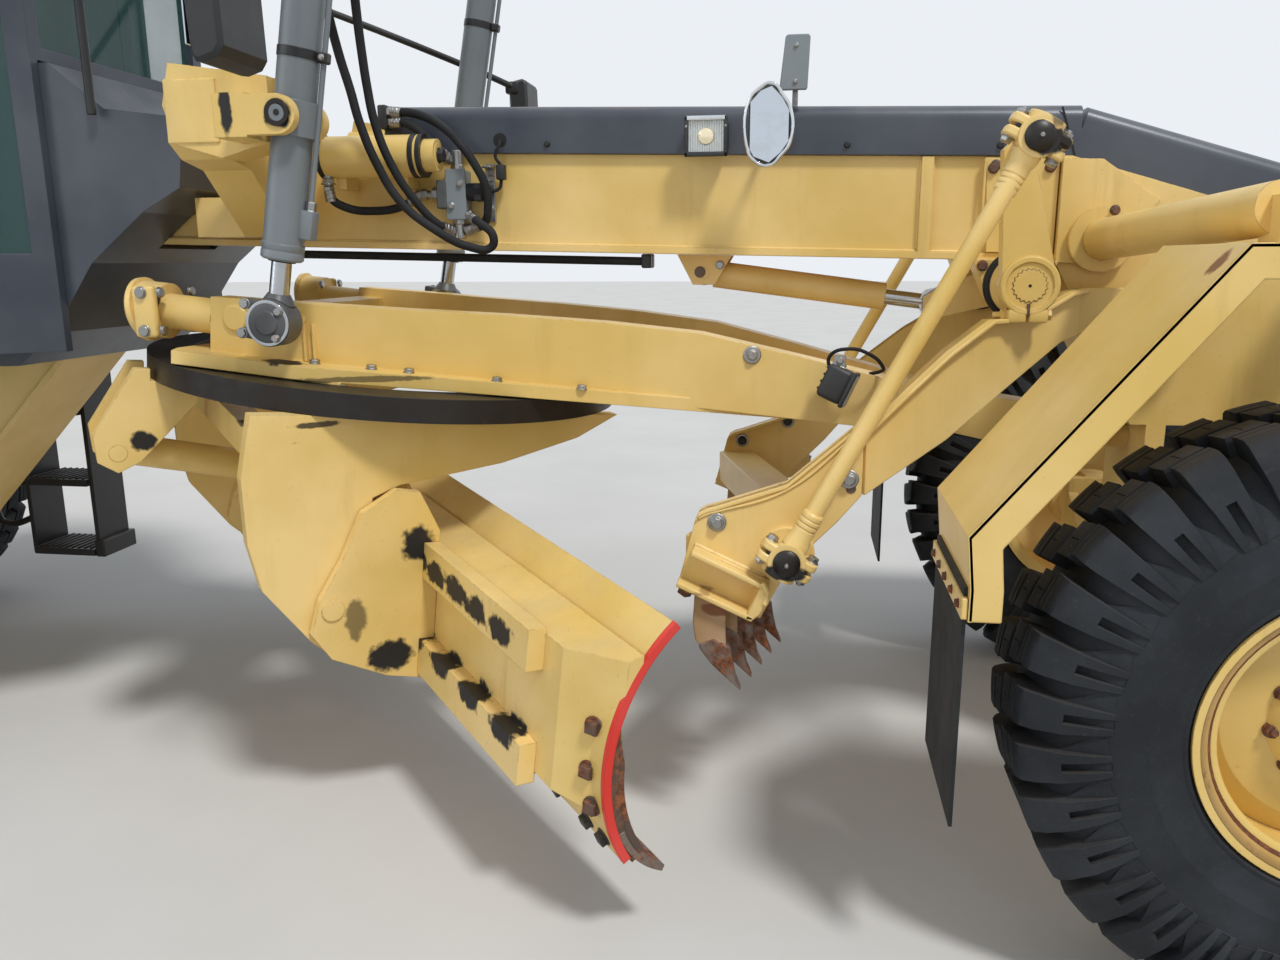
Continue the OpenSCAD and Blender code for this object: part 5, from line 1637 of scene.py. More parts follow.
@dataclass
class Mirrors:
    """Cab mirrors, spotting mirror and the plate on the cover; they replace the mirrors' solids.

    Attributes:
        bench: The bench.
        housing: Outline of a cab mirror's housing in X and Z.
        spot: Outline of the spotting mirror in X and Z.
    """

    bench: Bench
    housing: Outline = ((-2.410, 2.075), (-2.394, 2.065), (-2.352, 2.078), (-2.338, 2.098), (-2.346, 2.410),
                        (-2.358, 2.432), (-2.412, 2.421), (-2.426, 2.401))
    spot: Outline = ((-1.330, 1.968), (-1.318, 1.948), (-1.272, 1.930), (-1.238, 1.958), (-1.215, 1.990),
                     (-1.215, 2.080), (-1.236, 2.116), (-1.268, 2.148), (-1.300, 2.136), (-1.330, 2.104))

    def _shrunk(self, outline: Outline, share: float) -> list[Pair]:
        """Draws an outline in towards its middle.

        Args:
            outline: The outline.
            share: Its size afterwards.

        Returns:
            The smaller outline.
        """
        mid_u = sum(p[0] for p in outline) / len(outline)
        mid_v = sum(p[1] for p in outline) / len(outline)
        return [(mid_u + (u - mid_u) * share, mid_v + (v - mid_v) * share) for u, v in outline]

    def build(self) -> None:
        """Makes the mirrors."""
        b = self.bench
        for side in (-1, 1):
            low, high = sorted((side * 1.105, side * 1.295))
            b.drawn(self.housing, (low, low + 0.03, high - 0.03, high), PLASTIC, Along.Y, 0.012)
            b.block((-2.4285, low + 0.018, 2.105), (-2.4235, high - 0.018, 2.390), MIRROR, 0.001)
            arm = [(-2.40, side * 1.12, 2.395), (-2.52, side * 1.03, 2.445), (-3.18, side * 0.54, 2.675),
                   (-3.28, side * 0.445, 2.70), (-3.34, side * 0.43, 2.70), (-3.4395, side * 0.43, 2.70)]
            b.tube(arm, 0.0135, BLACK_PAINT, 4)
            b.rod((-3.4395, side * 0.43, 2.70), (-3.4295, side * 0.43, 2.70), 0.03, BLACK_PAINT)
            b.block((-2.44, side * 1.12 - 0.022, 2.370), (-2.38, side * 1.12 + 0.022, 2.420), BLACK_PAINT,
                    0.008, 2)
            b.rod((-3.262, side * 0.447, 2.10), (-3.262, side * 0.447, 2.705), 0.013, BLACK_PAINT, 16)
        b.drawn(self.spot, (-0.336, -0.324), PLASTIC, Along.Y, 0.004)
        b.tube([(u, -0.3335, v) for u, v in self.spot], 0.0052, CHROME_CLEAN, 3, True)
        b.drawn(self._shrunk(self.spot, 0.93), (-0.3365, -0.3345), MIRROR, Along.Y, 0.0006)
        b.rod((-1.27, -0.3240, 2.04), (-1.27, -0.1683, 2.04), 0.0095, BLACK_PAINT, 14)
        b.rod((-1.27, -0.178, 2.04), (-1.27, -0.1683, 2.04), 0.028, BLACK_PAINT, 18)
        b.rod((-1.27, -0.3260, 2.04), (-1.27, -0.310, 2.04), 0.019, BLACK_PAINT, 18)
        b.drawn([(-1.247, 2.150), (-1.173, 2.150), (-1.170, 2.156), (-1.165, 2.292), (-1.170, 2.300),
                 (-1.230, 2.300), (-1.236, 2.294), (-1.250, 2.156)], (-0.197, -0.183), GREY_PLATE, Along.Y,
                0.002)
        b.tube(((-1.205, -0.115, 2.0735), (-1.205, -0.115, 2.14), (-1.205, -0.122, 2.163),
                (-1.205, -0.15, 2.17), (-1.205, -0.186, 2.17)), 0.0085, ZINC, 3)
        b.fixed([(-1.205, -0.197, 2.172), (-1.205, -0.197, 2.27)], (0, -1, 0), 0.006, ZINC)
        b.piece("mirrors_dressed", "front_frame", Slot.BLACK, ("mirrors",))


@dataclass
class Lamps:
    """Work lamps with ribbed lenses; they replace the lamps' solids.

    Attributes:
        bench: The bench.
        low: Lowest corner of the side lamp, on the left.
        high: Its highest corner.
    """

    bench: Bench
    low: Point = (-1.521, 0.175, 1.967)
    high: Point = (-1.395, 0.245, 2.080)

    def _side_lamp(self, side: int) -> None:
        """Models a rectangular lamp that looks outwards.

        Args:
            side: -1 for the right side and 1 for the left.
        """
        b = self.bench
        x0, x1, z0, z1 = self.low[0], self.high[0], self.low[2], self.high[2]
        inner, outer = side * self.low[1], side * self.high[1]
        b.drawn([(x0 + 0.012, z0 + 0.010), (x1 - 0.012, z0 + 0.010), (x1, z0 + 0.020), (x1, z1 - 0.014),
                 (x1 - 0.012, z1 - 0.004), (x0 + 0.012, z1 - 0.004), (x0, z1 - 0.014), (x0, z0 + 0.020)],
                (inner, outer - side * 0.016), PLASTIC, Along.Y, 0.004)
        face = (outer - side * 0.018, outer)
        for low, high in (((x0, z0), (x1, z0 + 0.013)), ((x0, z1 - 0.013), (x1, z1)),
                          ((x0, z0), (x0 + 0.011, z1)), ((x1 - 0.011, z0), (x1, z1))):
            finish = CHROME_CLEAN if low[1] > z0 else PLASTIC
            b.block((low[0], face[0], low[1]), (high[0], face[1], high[1]), finish, 0.003, 2)
        b.block((x0 + 0.01, outer - side * 0.017, z0 + 0.012), (x1 - 0.01, outer - side * 0.013, z1 - 0.012),
                REFLECTOR, 0.001)
        ribs = 15
        for index in range(ribs):
            x = x0 + 0.014 + (x1 - x0 - 0.028) * index / (ribs - 1)
            b.rod((x, outer - side * 0.011, z0 + 0.013), (x, outer - side * 0.011, z1 - 0.013), 0.0034, LENS,
                  8, 0.0005)
        b.turned([(0, 0), (0.026, 0), (0.022, 0.008), (0.010, 0.012), (0, 0.0125)],
                 ((x0 + x1) / 2, outer - side * 0.014, (z0 + z1) / 2), (0, side, 0), BULB, 20)
        b.fixed([(x0 + 0.006, outer, z1 - 0.03), (x1 - 0.006, outer, z1 - 0.03)], (0, side, 0), 0.0035, ZINC)
        b.block((-1.480, side * 0.1685, 2.030), (-1.440, side * 0.182, 2.060), BLACK_PAINT, 0.002)

    def _nose_lamp(self, side: int) -> None:
        """Models a headlamp that looks forwards.

        Args:
            side: -1 for the right side and 1 for the left.
        """
        b = self.bench
        y0, y1 = sorted((side * 0.300, side * 0.460))
        b.drawn([(y0, 1.735), (y0 + 0.02, 1.72), (y1 - 0.02, 1.72), (y1, 1.735), (y1, 1.825),
                 (y1 - 0.02, 1.84), (y0 + 0.02, 1.84), (y0, 1.825)], (0.300, 0.340, 0.402), PLASTIC, Along.X,
                0.008)
        b.block((0.400, y0 + 0.006, 1.726), (0.414, y1 - 0.006, 1.834), CHROME_CLEAN, 0.004, 2)
        b.block((0.412, y0 + 0.016, 1.736), (0.420, y1 - 0.016, 1.824), LENS, 0.003, 2)
        b.block((0.34, side * 0.1684, 1.765), (0.38, side * 0.303, 1.795), BLACK_PAINT, 0.003)

    def build(self) -> None:
        """Makes the four lamps."""
        for side in (-1, 1):
            self._side_lamp(side)
            self._nose_lamp(side)
        self.bench.piece("work_lamps_dressed", "front_frame", Slot.BLACK, ("work_lamps",))


@dataclass
class BladeEnds:
    """Red edge, bolts and wearing plates of the blade.

    Attributes:
        bench: The bench, in the blade's frame.
        root: The bench, in the machine's frame.
        centre: Centre of the moldboard's curve in the blade's normal and height.
        top: Turn of the moldboard's top edge about the centre, in degrees.
        low: Turn of its low edge.
        radius: Its radius.
        thick: Its thickness.
        reach: Ends of the moldboard along the blade, each with the way inwards.
        steps: Steps along the curve.
    """

    bench: Bench
    root: Bench
    centre: Pair = (0.45232, -0.74461)
    top: float = 132.44
    low: float = 214.47
    radius: float = 0.448
    thick: float = 0.020
    reach: tuple[Pair, Pair] = ((-1.61, 1), (1.49, -1))
    steps: int = 28

    def _arc(self, radii: Sequence[float], start: float, end: float) -> list[Pair]:
        """Places points about the centre, evenly from one turn to another.

        Args:
            radii: Distance of each point from the centre.
            start: Turn of the first point, in degrees.
            end: Turn of the last point.

        Returns:
            The points.
        """
        made = []
        for index, radius in enumerate(radii):
            turn = math.radians(start + (end - start) * index / (len(radii) - 1))
            made.append((self.centre[0] + radius * math.cos(turn), self.centre[1] + radius * math.sin(turn)))
        return made

    def _red_edge(self) -> None:
        """Makes the red stripe over each end of the moldboard."""
        skin = 0.0008
        start = self.top - 0.15
        inner = [self.radius - skin] * (self.steps + 1)
        outer = [self.radius + self.thick + skin] * (self.steps + 1)
        band = self._arc(inner, start, self.low) + self._arc(outer, start, self.low)[::-1]
        for y, inwards in self.reach:
            self.bench.drawn(band, (y - inwards * 0.0015, y + inwards * 0.013), RED_PAINT, Along.Y, 0.0)

    def _end_bits(self) -> None:
        """Makes the two layers of wearing plate inside each end of the curve."""
        start, end, points = 166.0, 217.0, 21
        back = self._arc([self.radius + 0.002] * points, start, end)
        for y, inwards in self.reach:
            for share, near, far in ((0.022, 0.002, 0.20), (0.040, 0.006, 0.17)):
                face = [self.radius - share * min(1.0, 0.1 + index / 6) for index in range(points)]
                self.bench.drawn(back + self._arc(face, start, end)[::-1],
                                 (y + inwards * near, y + inwards * far), RUSTY, Along.Y, 0.0015)

    def _row(self, places: Iterable[float]) -> None:
        """Sets the black bolts along the cutting edge.

        Args:
            places: Their distances from the right end of the blade.
        """
        turn = math.radians(207.0)
        way = (math.cos(turn), 0.0, math.sin(turn))
        reach = self.radius + self.thick
        spots = [(self.centre[0] + reach * way[0], self.reach[0][0] + along, self.centre[1] + reach * way[2])
                 for along in places]
        self.bench.fixed(spots, way, 0.021, BLACK_PAINT, Head.SQUARE)

    def build(self) -> None:
        """Makes the pieces at both ends of the blade."""
        b = self.bench
        self._red_edge()
        b.piece("blade_red_edge", "blade", Slot.YELLOW, (), 50.0)
        self._end_bits()
        b.piece("blade_end_bits", "blade", Slot.RUSTED)
        self._row((0.05, 0.13, 0.28, *(0.4125 + 0.1325 * index for index in range(17)), 2.82, 2.97, 3.05))
        corner = ((-1.6228, -1.1739, 0.6099), (-1.6392, -1.1723, 0.4955), (-1.6294, -1.1800, 0.4071))
        self.root.fixed(corner, (-0.37, -0.93, 0.04), 0.022, RUSTY, Head.SQUARE)
        b.piece("blade_bolts", "blade", Slot.RUSTED)


@dataclass
class Scarifier:
    """The scarifier's frame with its lips, tooth channels and teeth; it replaces the plain frame.

    Attributes:
        bench: The bench.
        side_y: Middle of a side plate.
        plate: Thickness of its plates.
        pivot: Pivot in X and Z.
        ball: Ball of the tie rod, on the left.
        pitch: Distance between two teeth.
        teeth: Teeth on each side.
        plates: Plates of a tooth channel: first and last X, distance outwards and height.
    """

    bench: Bench
    side_y: float = 0.640
    plate: float = 0.030
    pivot: Pair = (-0.100, 1.520)
    ball: Point = (-1.190, 0.722, 0.897)
    pitch: float = 0.093
    teeth: int = 5
    plates: tuple[tuple[float, ...], ...] = (
        (0.0, 0.225, 0.0, 0.014, 0.0, 0.110), (0.0, 0.225, 0.0, 0.075, 0.0, 0.014),
        (0.0, 0.225, 0.0, 0.026, 0.096, 0.110), (0.0, 0.225, 0.034, 0.075, 0.096, 0.110),
        (0.0, 0.085, 0.020, 0.040, 0.096, 0.110), (0.196, 0.225, 0.020, 0.040, 0.096, 0.110),
    )

    def _strip(self, points: Outline, thick: float) -> list[Pair]:
        """Gives the outline of a strip under a row of points."""
        return list(points) + [(u, v - thick) for u, v in reversed(points)]

    def _side(self, side: int) -> None:
        """Models a side plate, its arm and their lips.

        Args:
            side: -1 for the right side and 1 for the left.
        """
        b = self.bench
        top = [(-1.440, 0.980), (-1.430, 1.000), (-1.410, 1.011), (-1.380, 1.020), (-1.195, 1.085),
               (-1.010, 1.250)]
        low = top + [(-1.000, 1.245), (-0.999, 1.060), (-1.060, 0.985), (-1.180, 0.860), (-1.259, 0.704),
                     (-1.487, 0.795)]
        half = self.plate / 2
        outer = self.side_y + half
        b.drawn(low, (side * (self.side_y - half), side * outer), SCARIFIER_PAINT)
        b.drawn(self._strip(top, 0.012), (side * (outer - 0.056), side * (outer + 0.006)), SCARIFIER_PAINT)
        bead = [(u, side * (outer + 0.001), v - 0.0155) for u, v in top[1:]]
        b.tube(bead, 0.0045, SCARIFIER_PAINT, 2)
        sweep = math.degrees(math.atan2(-0.370, 0.600))
        slant = turned_at((-1.0, side * self.side_y, 0), side * sweep, "Z")
        crest = [(0.0, 1.245), (0.120, 1.338), (0.245, 1.431), (0.380, 1.511), (0.505, 1.514), (0.650, 1.580),
                 (0.705, 1.590)]
        arm = crest + [(0.705, 1.460), (0.640, 1.440), (0.470, 1.330), (0.260, 1.190), (0.001, 1.060)]
        b.drawn(arm, (-half, half), SCARIFIER_PAINT, Along.Y, 0.002, slant)
        b.drawn(self._strip(crest, 0.012), (-side * half, side * (0.056 - half)), SCARIFIER_PAINT, Along.Y,
                0.002, slant)
        front = [(-0.400, 1.590), (-0.170, 1.590), (-0.130, 1.585), (-0.124, 1.570), (-0.148, 1.547),
                 (-0.155, 1.520), (-0.148, 1.492), (-0.124, 1.470), (-0.130, 1.458), (-0.170, 1.465),
                 (-0.400, 1.460)]
        b.drawn(front, (side * 0.255, side * 0.285), SCARIFIER_PAINT)
        ring = [(0.0365, -0.030), (0.073, -0.030), (0.075, -0.028), (0.075, 0.028), (0.073, 0.030),
                (0.0365, 0.030)]
        b.turned(ring, (self.pivot[0], side * 0.265, self.pivot[1]), (0, side, 0), SCARIFIER_PAINT, 40)

    def _stud(self, side: int) -> None:
        """Models the ball on its stud, with the boss behind it.

        Args:
            side: -1 for the right side and 1 for the left.
        """
        b = self.bench
        x, y, z = self.ball
        outer = self.side_y + self.plate / 2
        boss = [(0, 0), (0.074, 0), (0.074, 0.013), (0.071, 0.0165), (0.050, 0.0165), (0.044, 0.020),
                (0, 0.020)]
        b.turned(boss, (x, side * outer, z), (0, side, 0), SCARIFIER_PAINT, 40)
        b.rod((x, side * (outer - 0.01), z), (x, side * y, z), 0.016, GREASY, 20)
        sphere = []
        for index in range(13):
            turn = math.radians(-90 + 15 * index)
            sphere.append((0.028 * max(0.0, math.cos(turn)), 0.028 * math.sin(turn)))
        b.turned(sphere, (x, side * y, z), (0, side, 0), GREASY, 28)

    def _channel(self, side: int) -> None:
        """Models the channel outside the side plate that holds the outer tooth.

        Args:
            side: -1 for the right side and 1 for the left.
        """
        b = self.bench
        turn = turned_at((-1.485, 0, 0.810), 24)
        near = self.side_y + self.plate / 2 - 0.001

        for x0, x1, y0, y1, z0, z1 in self.plates:
            b.block((x0, side * (near + y0), z0), (x1, side * (near + y1), z1), SCARIFIER_PAINT, 0.003, 2,
                    turn)
        b.block((0.085, side * (near + 0.024), 0.097), (0.196, side * (near + 0.036), 0.101), RUSTY, 0.0, 2,
                turn)
        cap = [(0.205, 0.0), (0.226, 0.006), (0.236, 0.030), (0.238, 0.060), (0.230, 0.094), (0.212, 0.110),
               (0.205, 0.110)]
        b.drawn(cap, (side * near, side * (near + 0.075)), SCARIFIER_PAINT, Along.Y, 0.003, turn)
        weld = [(0.205, side * (near + 0.070), 0.112), (0.222, side * (near + 0.076), 0.100),
                (0.231, side * (near + 0.070), 0.085), (0.235, side * (near + 0.074), 0.060)]
        placed = [tuple(turn @ Vector(p)) for p in weld]
        b.tube(placed, 0.0075, SCARIFIER_PAINT, 2)
        for run in (((0.0, 0.110), (0.21, 0.110)), ((0.0, -0.001), (0.21, -0.001))):
            ends = [tuple(turn @ Vector((u, side * (near + 0.002), v))) for u, v in run]
            middle = tuple((Vector(ends[0]) + Vector(ends[1])) / 2)
            b.tube((ends[0], middle, ends[1]), 0.005, SCARIFIER_PAINT, 2)
        bolt = turn @ Vector((0.030, side * (near + 0.050), -0.001))
        b.fixed([tuple(bolt)], tuple(turn.to_3x3() @ Vector((0, 0, -1))), 0.021, RUSTY, Head.SQUARE)

    def _teeth(self, side: int) -> None:
        """Models the teeth of one side, each with its replaceable point.

        Args:
            side: -1 for the right side and 1 for the left.
        """
        b = self.bench
        foot = [(-1.352, 0.700), (-1.350, 0.640), (-1.345, 0.612), (-1.408, 0.612), (-1.434, 0.650),
                (-1.441, 0.700)]
        point = [(-1.338, 0.632), (-1.334, 0.600), (-1.322, 0.545), (-1.305, 0.505), (-1.345, 0.540),
                 (-1.390, 0.582), (-1.420, 0.622), (-1.425, 0.636), (-1.380, 0.655)]
        for index in range(self.teeth):
            y = 0.683 - index * self.pitch
            push = index * 0.026
            head = [(-1.430, 0.850), (-1.346, 0.850)] if index else [(-1.436, 0.786), (-1.346, 0.746)]
            b.drawn([(u + push, v) for u, v in foot + head],
                    (side * (y - 0.014), side * (y + 0.014)), TOOTH_PAINT)
            b.drawn([(u + push, v) for u, v in point], (side * (y - 0.019), side * (y + 0.019)),
                    WORN_EDGE, Along.Y, 0.004)
            if index:
                b.block((-1.455 + push, side * y - 0.026, 0.796), (-1.325 + push, side * y + 0.026, 0.812),
                        TOOTH_PAINT, 0.004)
                b.fixed([(-1.470 + push + 0.006, side * y, 0.870)], (-1, 0, 0), 0.014, RUSTY, Head.SQUARE)

    def _beam(self) -> bpy.types.Object:
        """Models the swept beam that holds the teeth.

        Returns:
            The beam.
        """
        sweep = 0.179
        plan = [(-1.470, -0.626), (-1.330, -0.626), (-1.330 + sweep, 0.0), (-1.330, 0.626), (-1.470, 0.626),
                (-1.470 + sweep, 0.0)]
        return self.bench.drawn(plan, (0.810, 0.930), SCARIFIER_PAINT, Along.Z, 0.005)

    def _bolts(self, side: int) -> None:
        """Sets the stop bolts and the lock's bore on a side plate.

        Args:
            side: -1 for the right side and 1 for the left.
        """
        b = self.bench
        outer = side * (self.side_y + self.plate / 2)
        washer = [(0, 0), (0.026, 0), (0.026, 0.004), (0.0235, 0.0062), (0.013, 0.0066), (0, 0.0066)]
        for x, z in ((-1.3806, 0.9749), (-1.0335, 1.1046)):
            b.turned(washer, (x, outer, z), (0, side, 0), ZINC, 28)
            b.fixed([(x, outer + side * 0.006, z)], (0, side, 0), 0.0155, ZINC)
        bore = [(0.0125, -0.006), (0.0150, -0.006), (0.0150, 0.0006), (0.0138, 0.0012), (0.0125, 0.0)]
        b.turned(bore, (-1.0273, outer, 1.0777), (0, side, 0), SCARIFIER_PAINT, 24)
        b.rod((-1.0273, outer - side * 0.004, 1.0777), (-1.0273, outer + side * 0.0004, 1.0777), 0.0132,
              RUSTY, 24, 0.0002)
        inner = side * (self.side_y - self.plate / 2)
        for x, z in ((-1.205, 1.055), (-1.3806, 0.9749)):
            b.turned(washer, (x, inner, z), (0, -side, 0), ZINC, 28)
            b.fixed([(x, inner - side * 0.006, z)], (0, -side, 0), 0.0155, GREASY)

    def build(self) -> None:
        """Makes the frame, the teeth and the bolts."""
        self._beam()
        for side in (-1, 1):
            self._side(side)
            self._channel(side)
            self._stud(side)
        self.bench.piece("scarifier_frame_dressed", "scarifier", Slot.YELLOW, ("scarifier_frame",))
        for make, name, slot in ((self._teeth, "scarifier_teeth", Slot.RUSTED),
                                 (self._bolts, "scarifier_bolts", Slot.STEEL)):
            make(-1)
            make(1)
            self.bench.piece(name, "scarifier", slot)


@dataclass
class TieRodJoints:
    """Split ball clamps, necks and bolts of the two tie rods.

    Attributes:
        bench: The bench.
        upper: Ball of the lever, on the left.
        lower: Ball of the scarifier, on the left.
    """

    bench: Bench
    upper: Point = (-0.628, 0.665, 1.953)
    lower: Point = (-1.190, 0.722, 0.897)

    def _clamp(self, side: int, ball: Point, away: float) -> None:
        """Models the two flanges of a clamp and their bolts.

        Args:
            side: Side of the machine.
            ball: The ball, on the left.
            away: 1 where the rod leaves down its line, -1 where it leaves up.
        """
        lean = math.degrees(math.atan2(self.lower[0] - self.upper[0], self.lower[2] - self.upper[2]))
        b = self.bench.at(self.bench.frame @ turned_at((ball[0], side * ball[1], ball[2]), lean))
        ear = [(-0.078, -0.020), (-0.066, -0.033), (-0.040, -0.036), (0.040, -0.036), (0.066, -0.033),
               (0.078, -0.020), (0.078, 0.020), (0.066, 0.033), (0.040, 0.036), (-0.040, 0.036),
               (-0.066, 0.033), (-0.078, 0.020)]
        for low, high in ((-0.028, -0.005), (0.005, 0.028)):
            b.drawn(ear, (low, high), TIE_PAINT, Along.Z, 0.004)
        b.block((-0.060, -0.031, -0.006), (0.060, 0.031, 0.006), GREASY, 0.002)
        for x in (-0.060, 0.060):
            b.fixed([(x, 0, away * 0.028)], (0, 0, away), 0.0155, ZINC)
            b.fixed([(x, 0, -away * 0.028)], (0, 0, -away), 0.0145, ZINC, Head.NUT)
        neck = [(0.0, 0.040), (0.036, 0.040), (0.034, 0.060), (0.0295, 0.070), (0.0295, 0.096),
                (0.0265, 0.099), (0.0295, 0.102), (0.0295, 0.110), (0.0265, 0.113), (0.0295, 0.116),
                (0.0295, 0.124), (0.0265, 0.127), (0.0285, 0.130), (0.0285, 0.140), (0.0245, 0.146),
                (0.0, 0.146)]
        b.turned(neck, (0, 0, 0), (0, 0, away), TIE_PAINT, 32)
        dome = [(0.0, -0.040), (0.040, -0.040), (0.046, -0.030), (0.046, 0.0), (0.0, 0.0)]
        b.turned([(r, -h - 0.050) for r, h in dome], (0, 0, 0), (0, 0, away), TIE_PAINT, 32)
        cap = [(0, 0), (0.036, 0), (0.036, 0.006), (0.030, 0.012), (0.014, 0.016), (0, 0.017)]
        b.turned(cap, (0, side * 0.038, 0), (0, side, 0), GREASY, 28)
        b.rod((0, side * 0.052, 0), (0, side * 0.066, 0), 0.0055, ZINC, 8, 0.001)

    def build(self) -> None:
        """Makes the clamps of both rods."""
        for side in (-1, 1):
            self._clamp(side, self.upper, 1)
            self._clamp(side, self.lower, -1)
        self.bench.piece("tie_rod_clamps", "tie_rods", Slot.YELLOW)


@dataclass
class LeverEnds:
    """Splined shaft ends, clamp lugs and seals of the scarifier's lever.

    Attributes:
        bench: The bench.
        shaft: Middle of the shaft in X and Z.
        face: Outer face of a lever from the machine's middle.
    """

    bench: Bench
    shaft: Pair = (-0.570, 1.600)
    face: float = 0.448

    def _spline(self, radius: float, depth: float, count: int) -> list[Pair]:
        """Gives the scalloped outline of a splined shaft, in X and Z.

        Args:
            radius: Its radius over the splines.
            depth: Depth of a groove.
            count: Number of grooves.

        Returns:
            The outline.
        """
        rim = []
        for index in range(count * 6):
            turn = 2 * math.pi * index / (count * 6)
            now = radius - depth * abs(math.cos(turn * count / 2))
            rim.append((self.shaft[0] + now * math.cos(turn), self.shaft[1] + now * math.sin(turn)))
        return rim

    def build(self) -> None:
        """Makes both ends."""
        b = self.bench
        x, z = self.shaft
        for side in (-1, 1):
            out = side * self.face
            b.drawn(self._spline(0.0475, 0.0052, 20), (out - side * 0.001, out + side * 0.0006), RUSTY,
                    Along.Y, 0.0)
            b.drawn(self._spline(0.0455, 0.0052, 20), (out, out + side * 0.0022), PAINT, Along.Y, 0.0)
            b.rod((x, out, z), (x, out + side * 0.0026, z), 0.0045, SEAL_RUBBER, 12, 0.0003)
            rim = [(0.060, 0), (0.0775, 0), (0.0775, 0.0015), (0.074, 0.005), (0.062, 0.005)]
            b.turned(rim, (x, out, z), (0, side, 0), PAINT, 40)
            for low, high in ((x - 0.052, x - 0.0035), (x + 0.0035, x + 0.052)):
                b.block((low, out + side * 0.0052, z - 0.098), (high, out - side * 0.05, z - 0.062), PAINT,
                        0.006, 2)
            b.block((x - 0.0036, out + side * 0.0056, z - 0.078), (x + 0.0036, out - side * 0.045, z - 0.047),
                    RUSTY, 0.0)
            middle = out - side * 0.026
            b.rod((x - 0.086, middle, z - 0.078), (x + 0.066, middle, z - 0.078), 0.0085, PAINT, 14)
            b.fixed([(x - 0.052, middle, z - 0.078)], (-1, 0, 0), 0.0165, PAINT, Head.NUT)
            b.fixed([(x + 0.052, middle, z - 0.078)], (1, 0, 0), 0.0155, PAINT)
            seal = [(0.043, 0.0), (0.094, 0.0), (0.098, 0.006), (0.098, 0.024), (0.092, 0.030),
                    (0.096, 0.036), (0.094, 0.046), (0.086, 0.052), (0.043, 0.052)]
            b.turned(seal, (x, side * 0.300, z), (0, side, 0), SEAL_RUBBER, 40)
            collar = [(0.043, 0.0), (0.086, 0.0), (0.086, 0.022), (0.078, 0.040), (0.043, 0.040)]
            b.turned(collar, (x, side * 0.352, z), (0, side, 0), PAINT, 40)
        b.piece("lever_ends", "scarifier_lever", Slot.YELLOW)


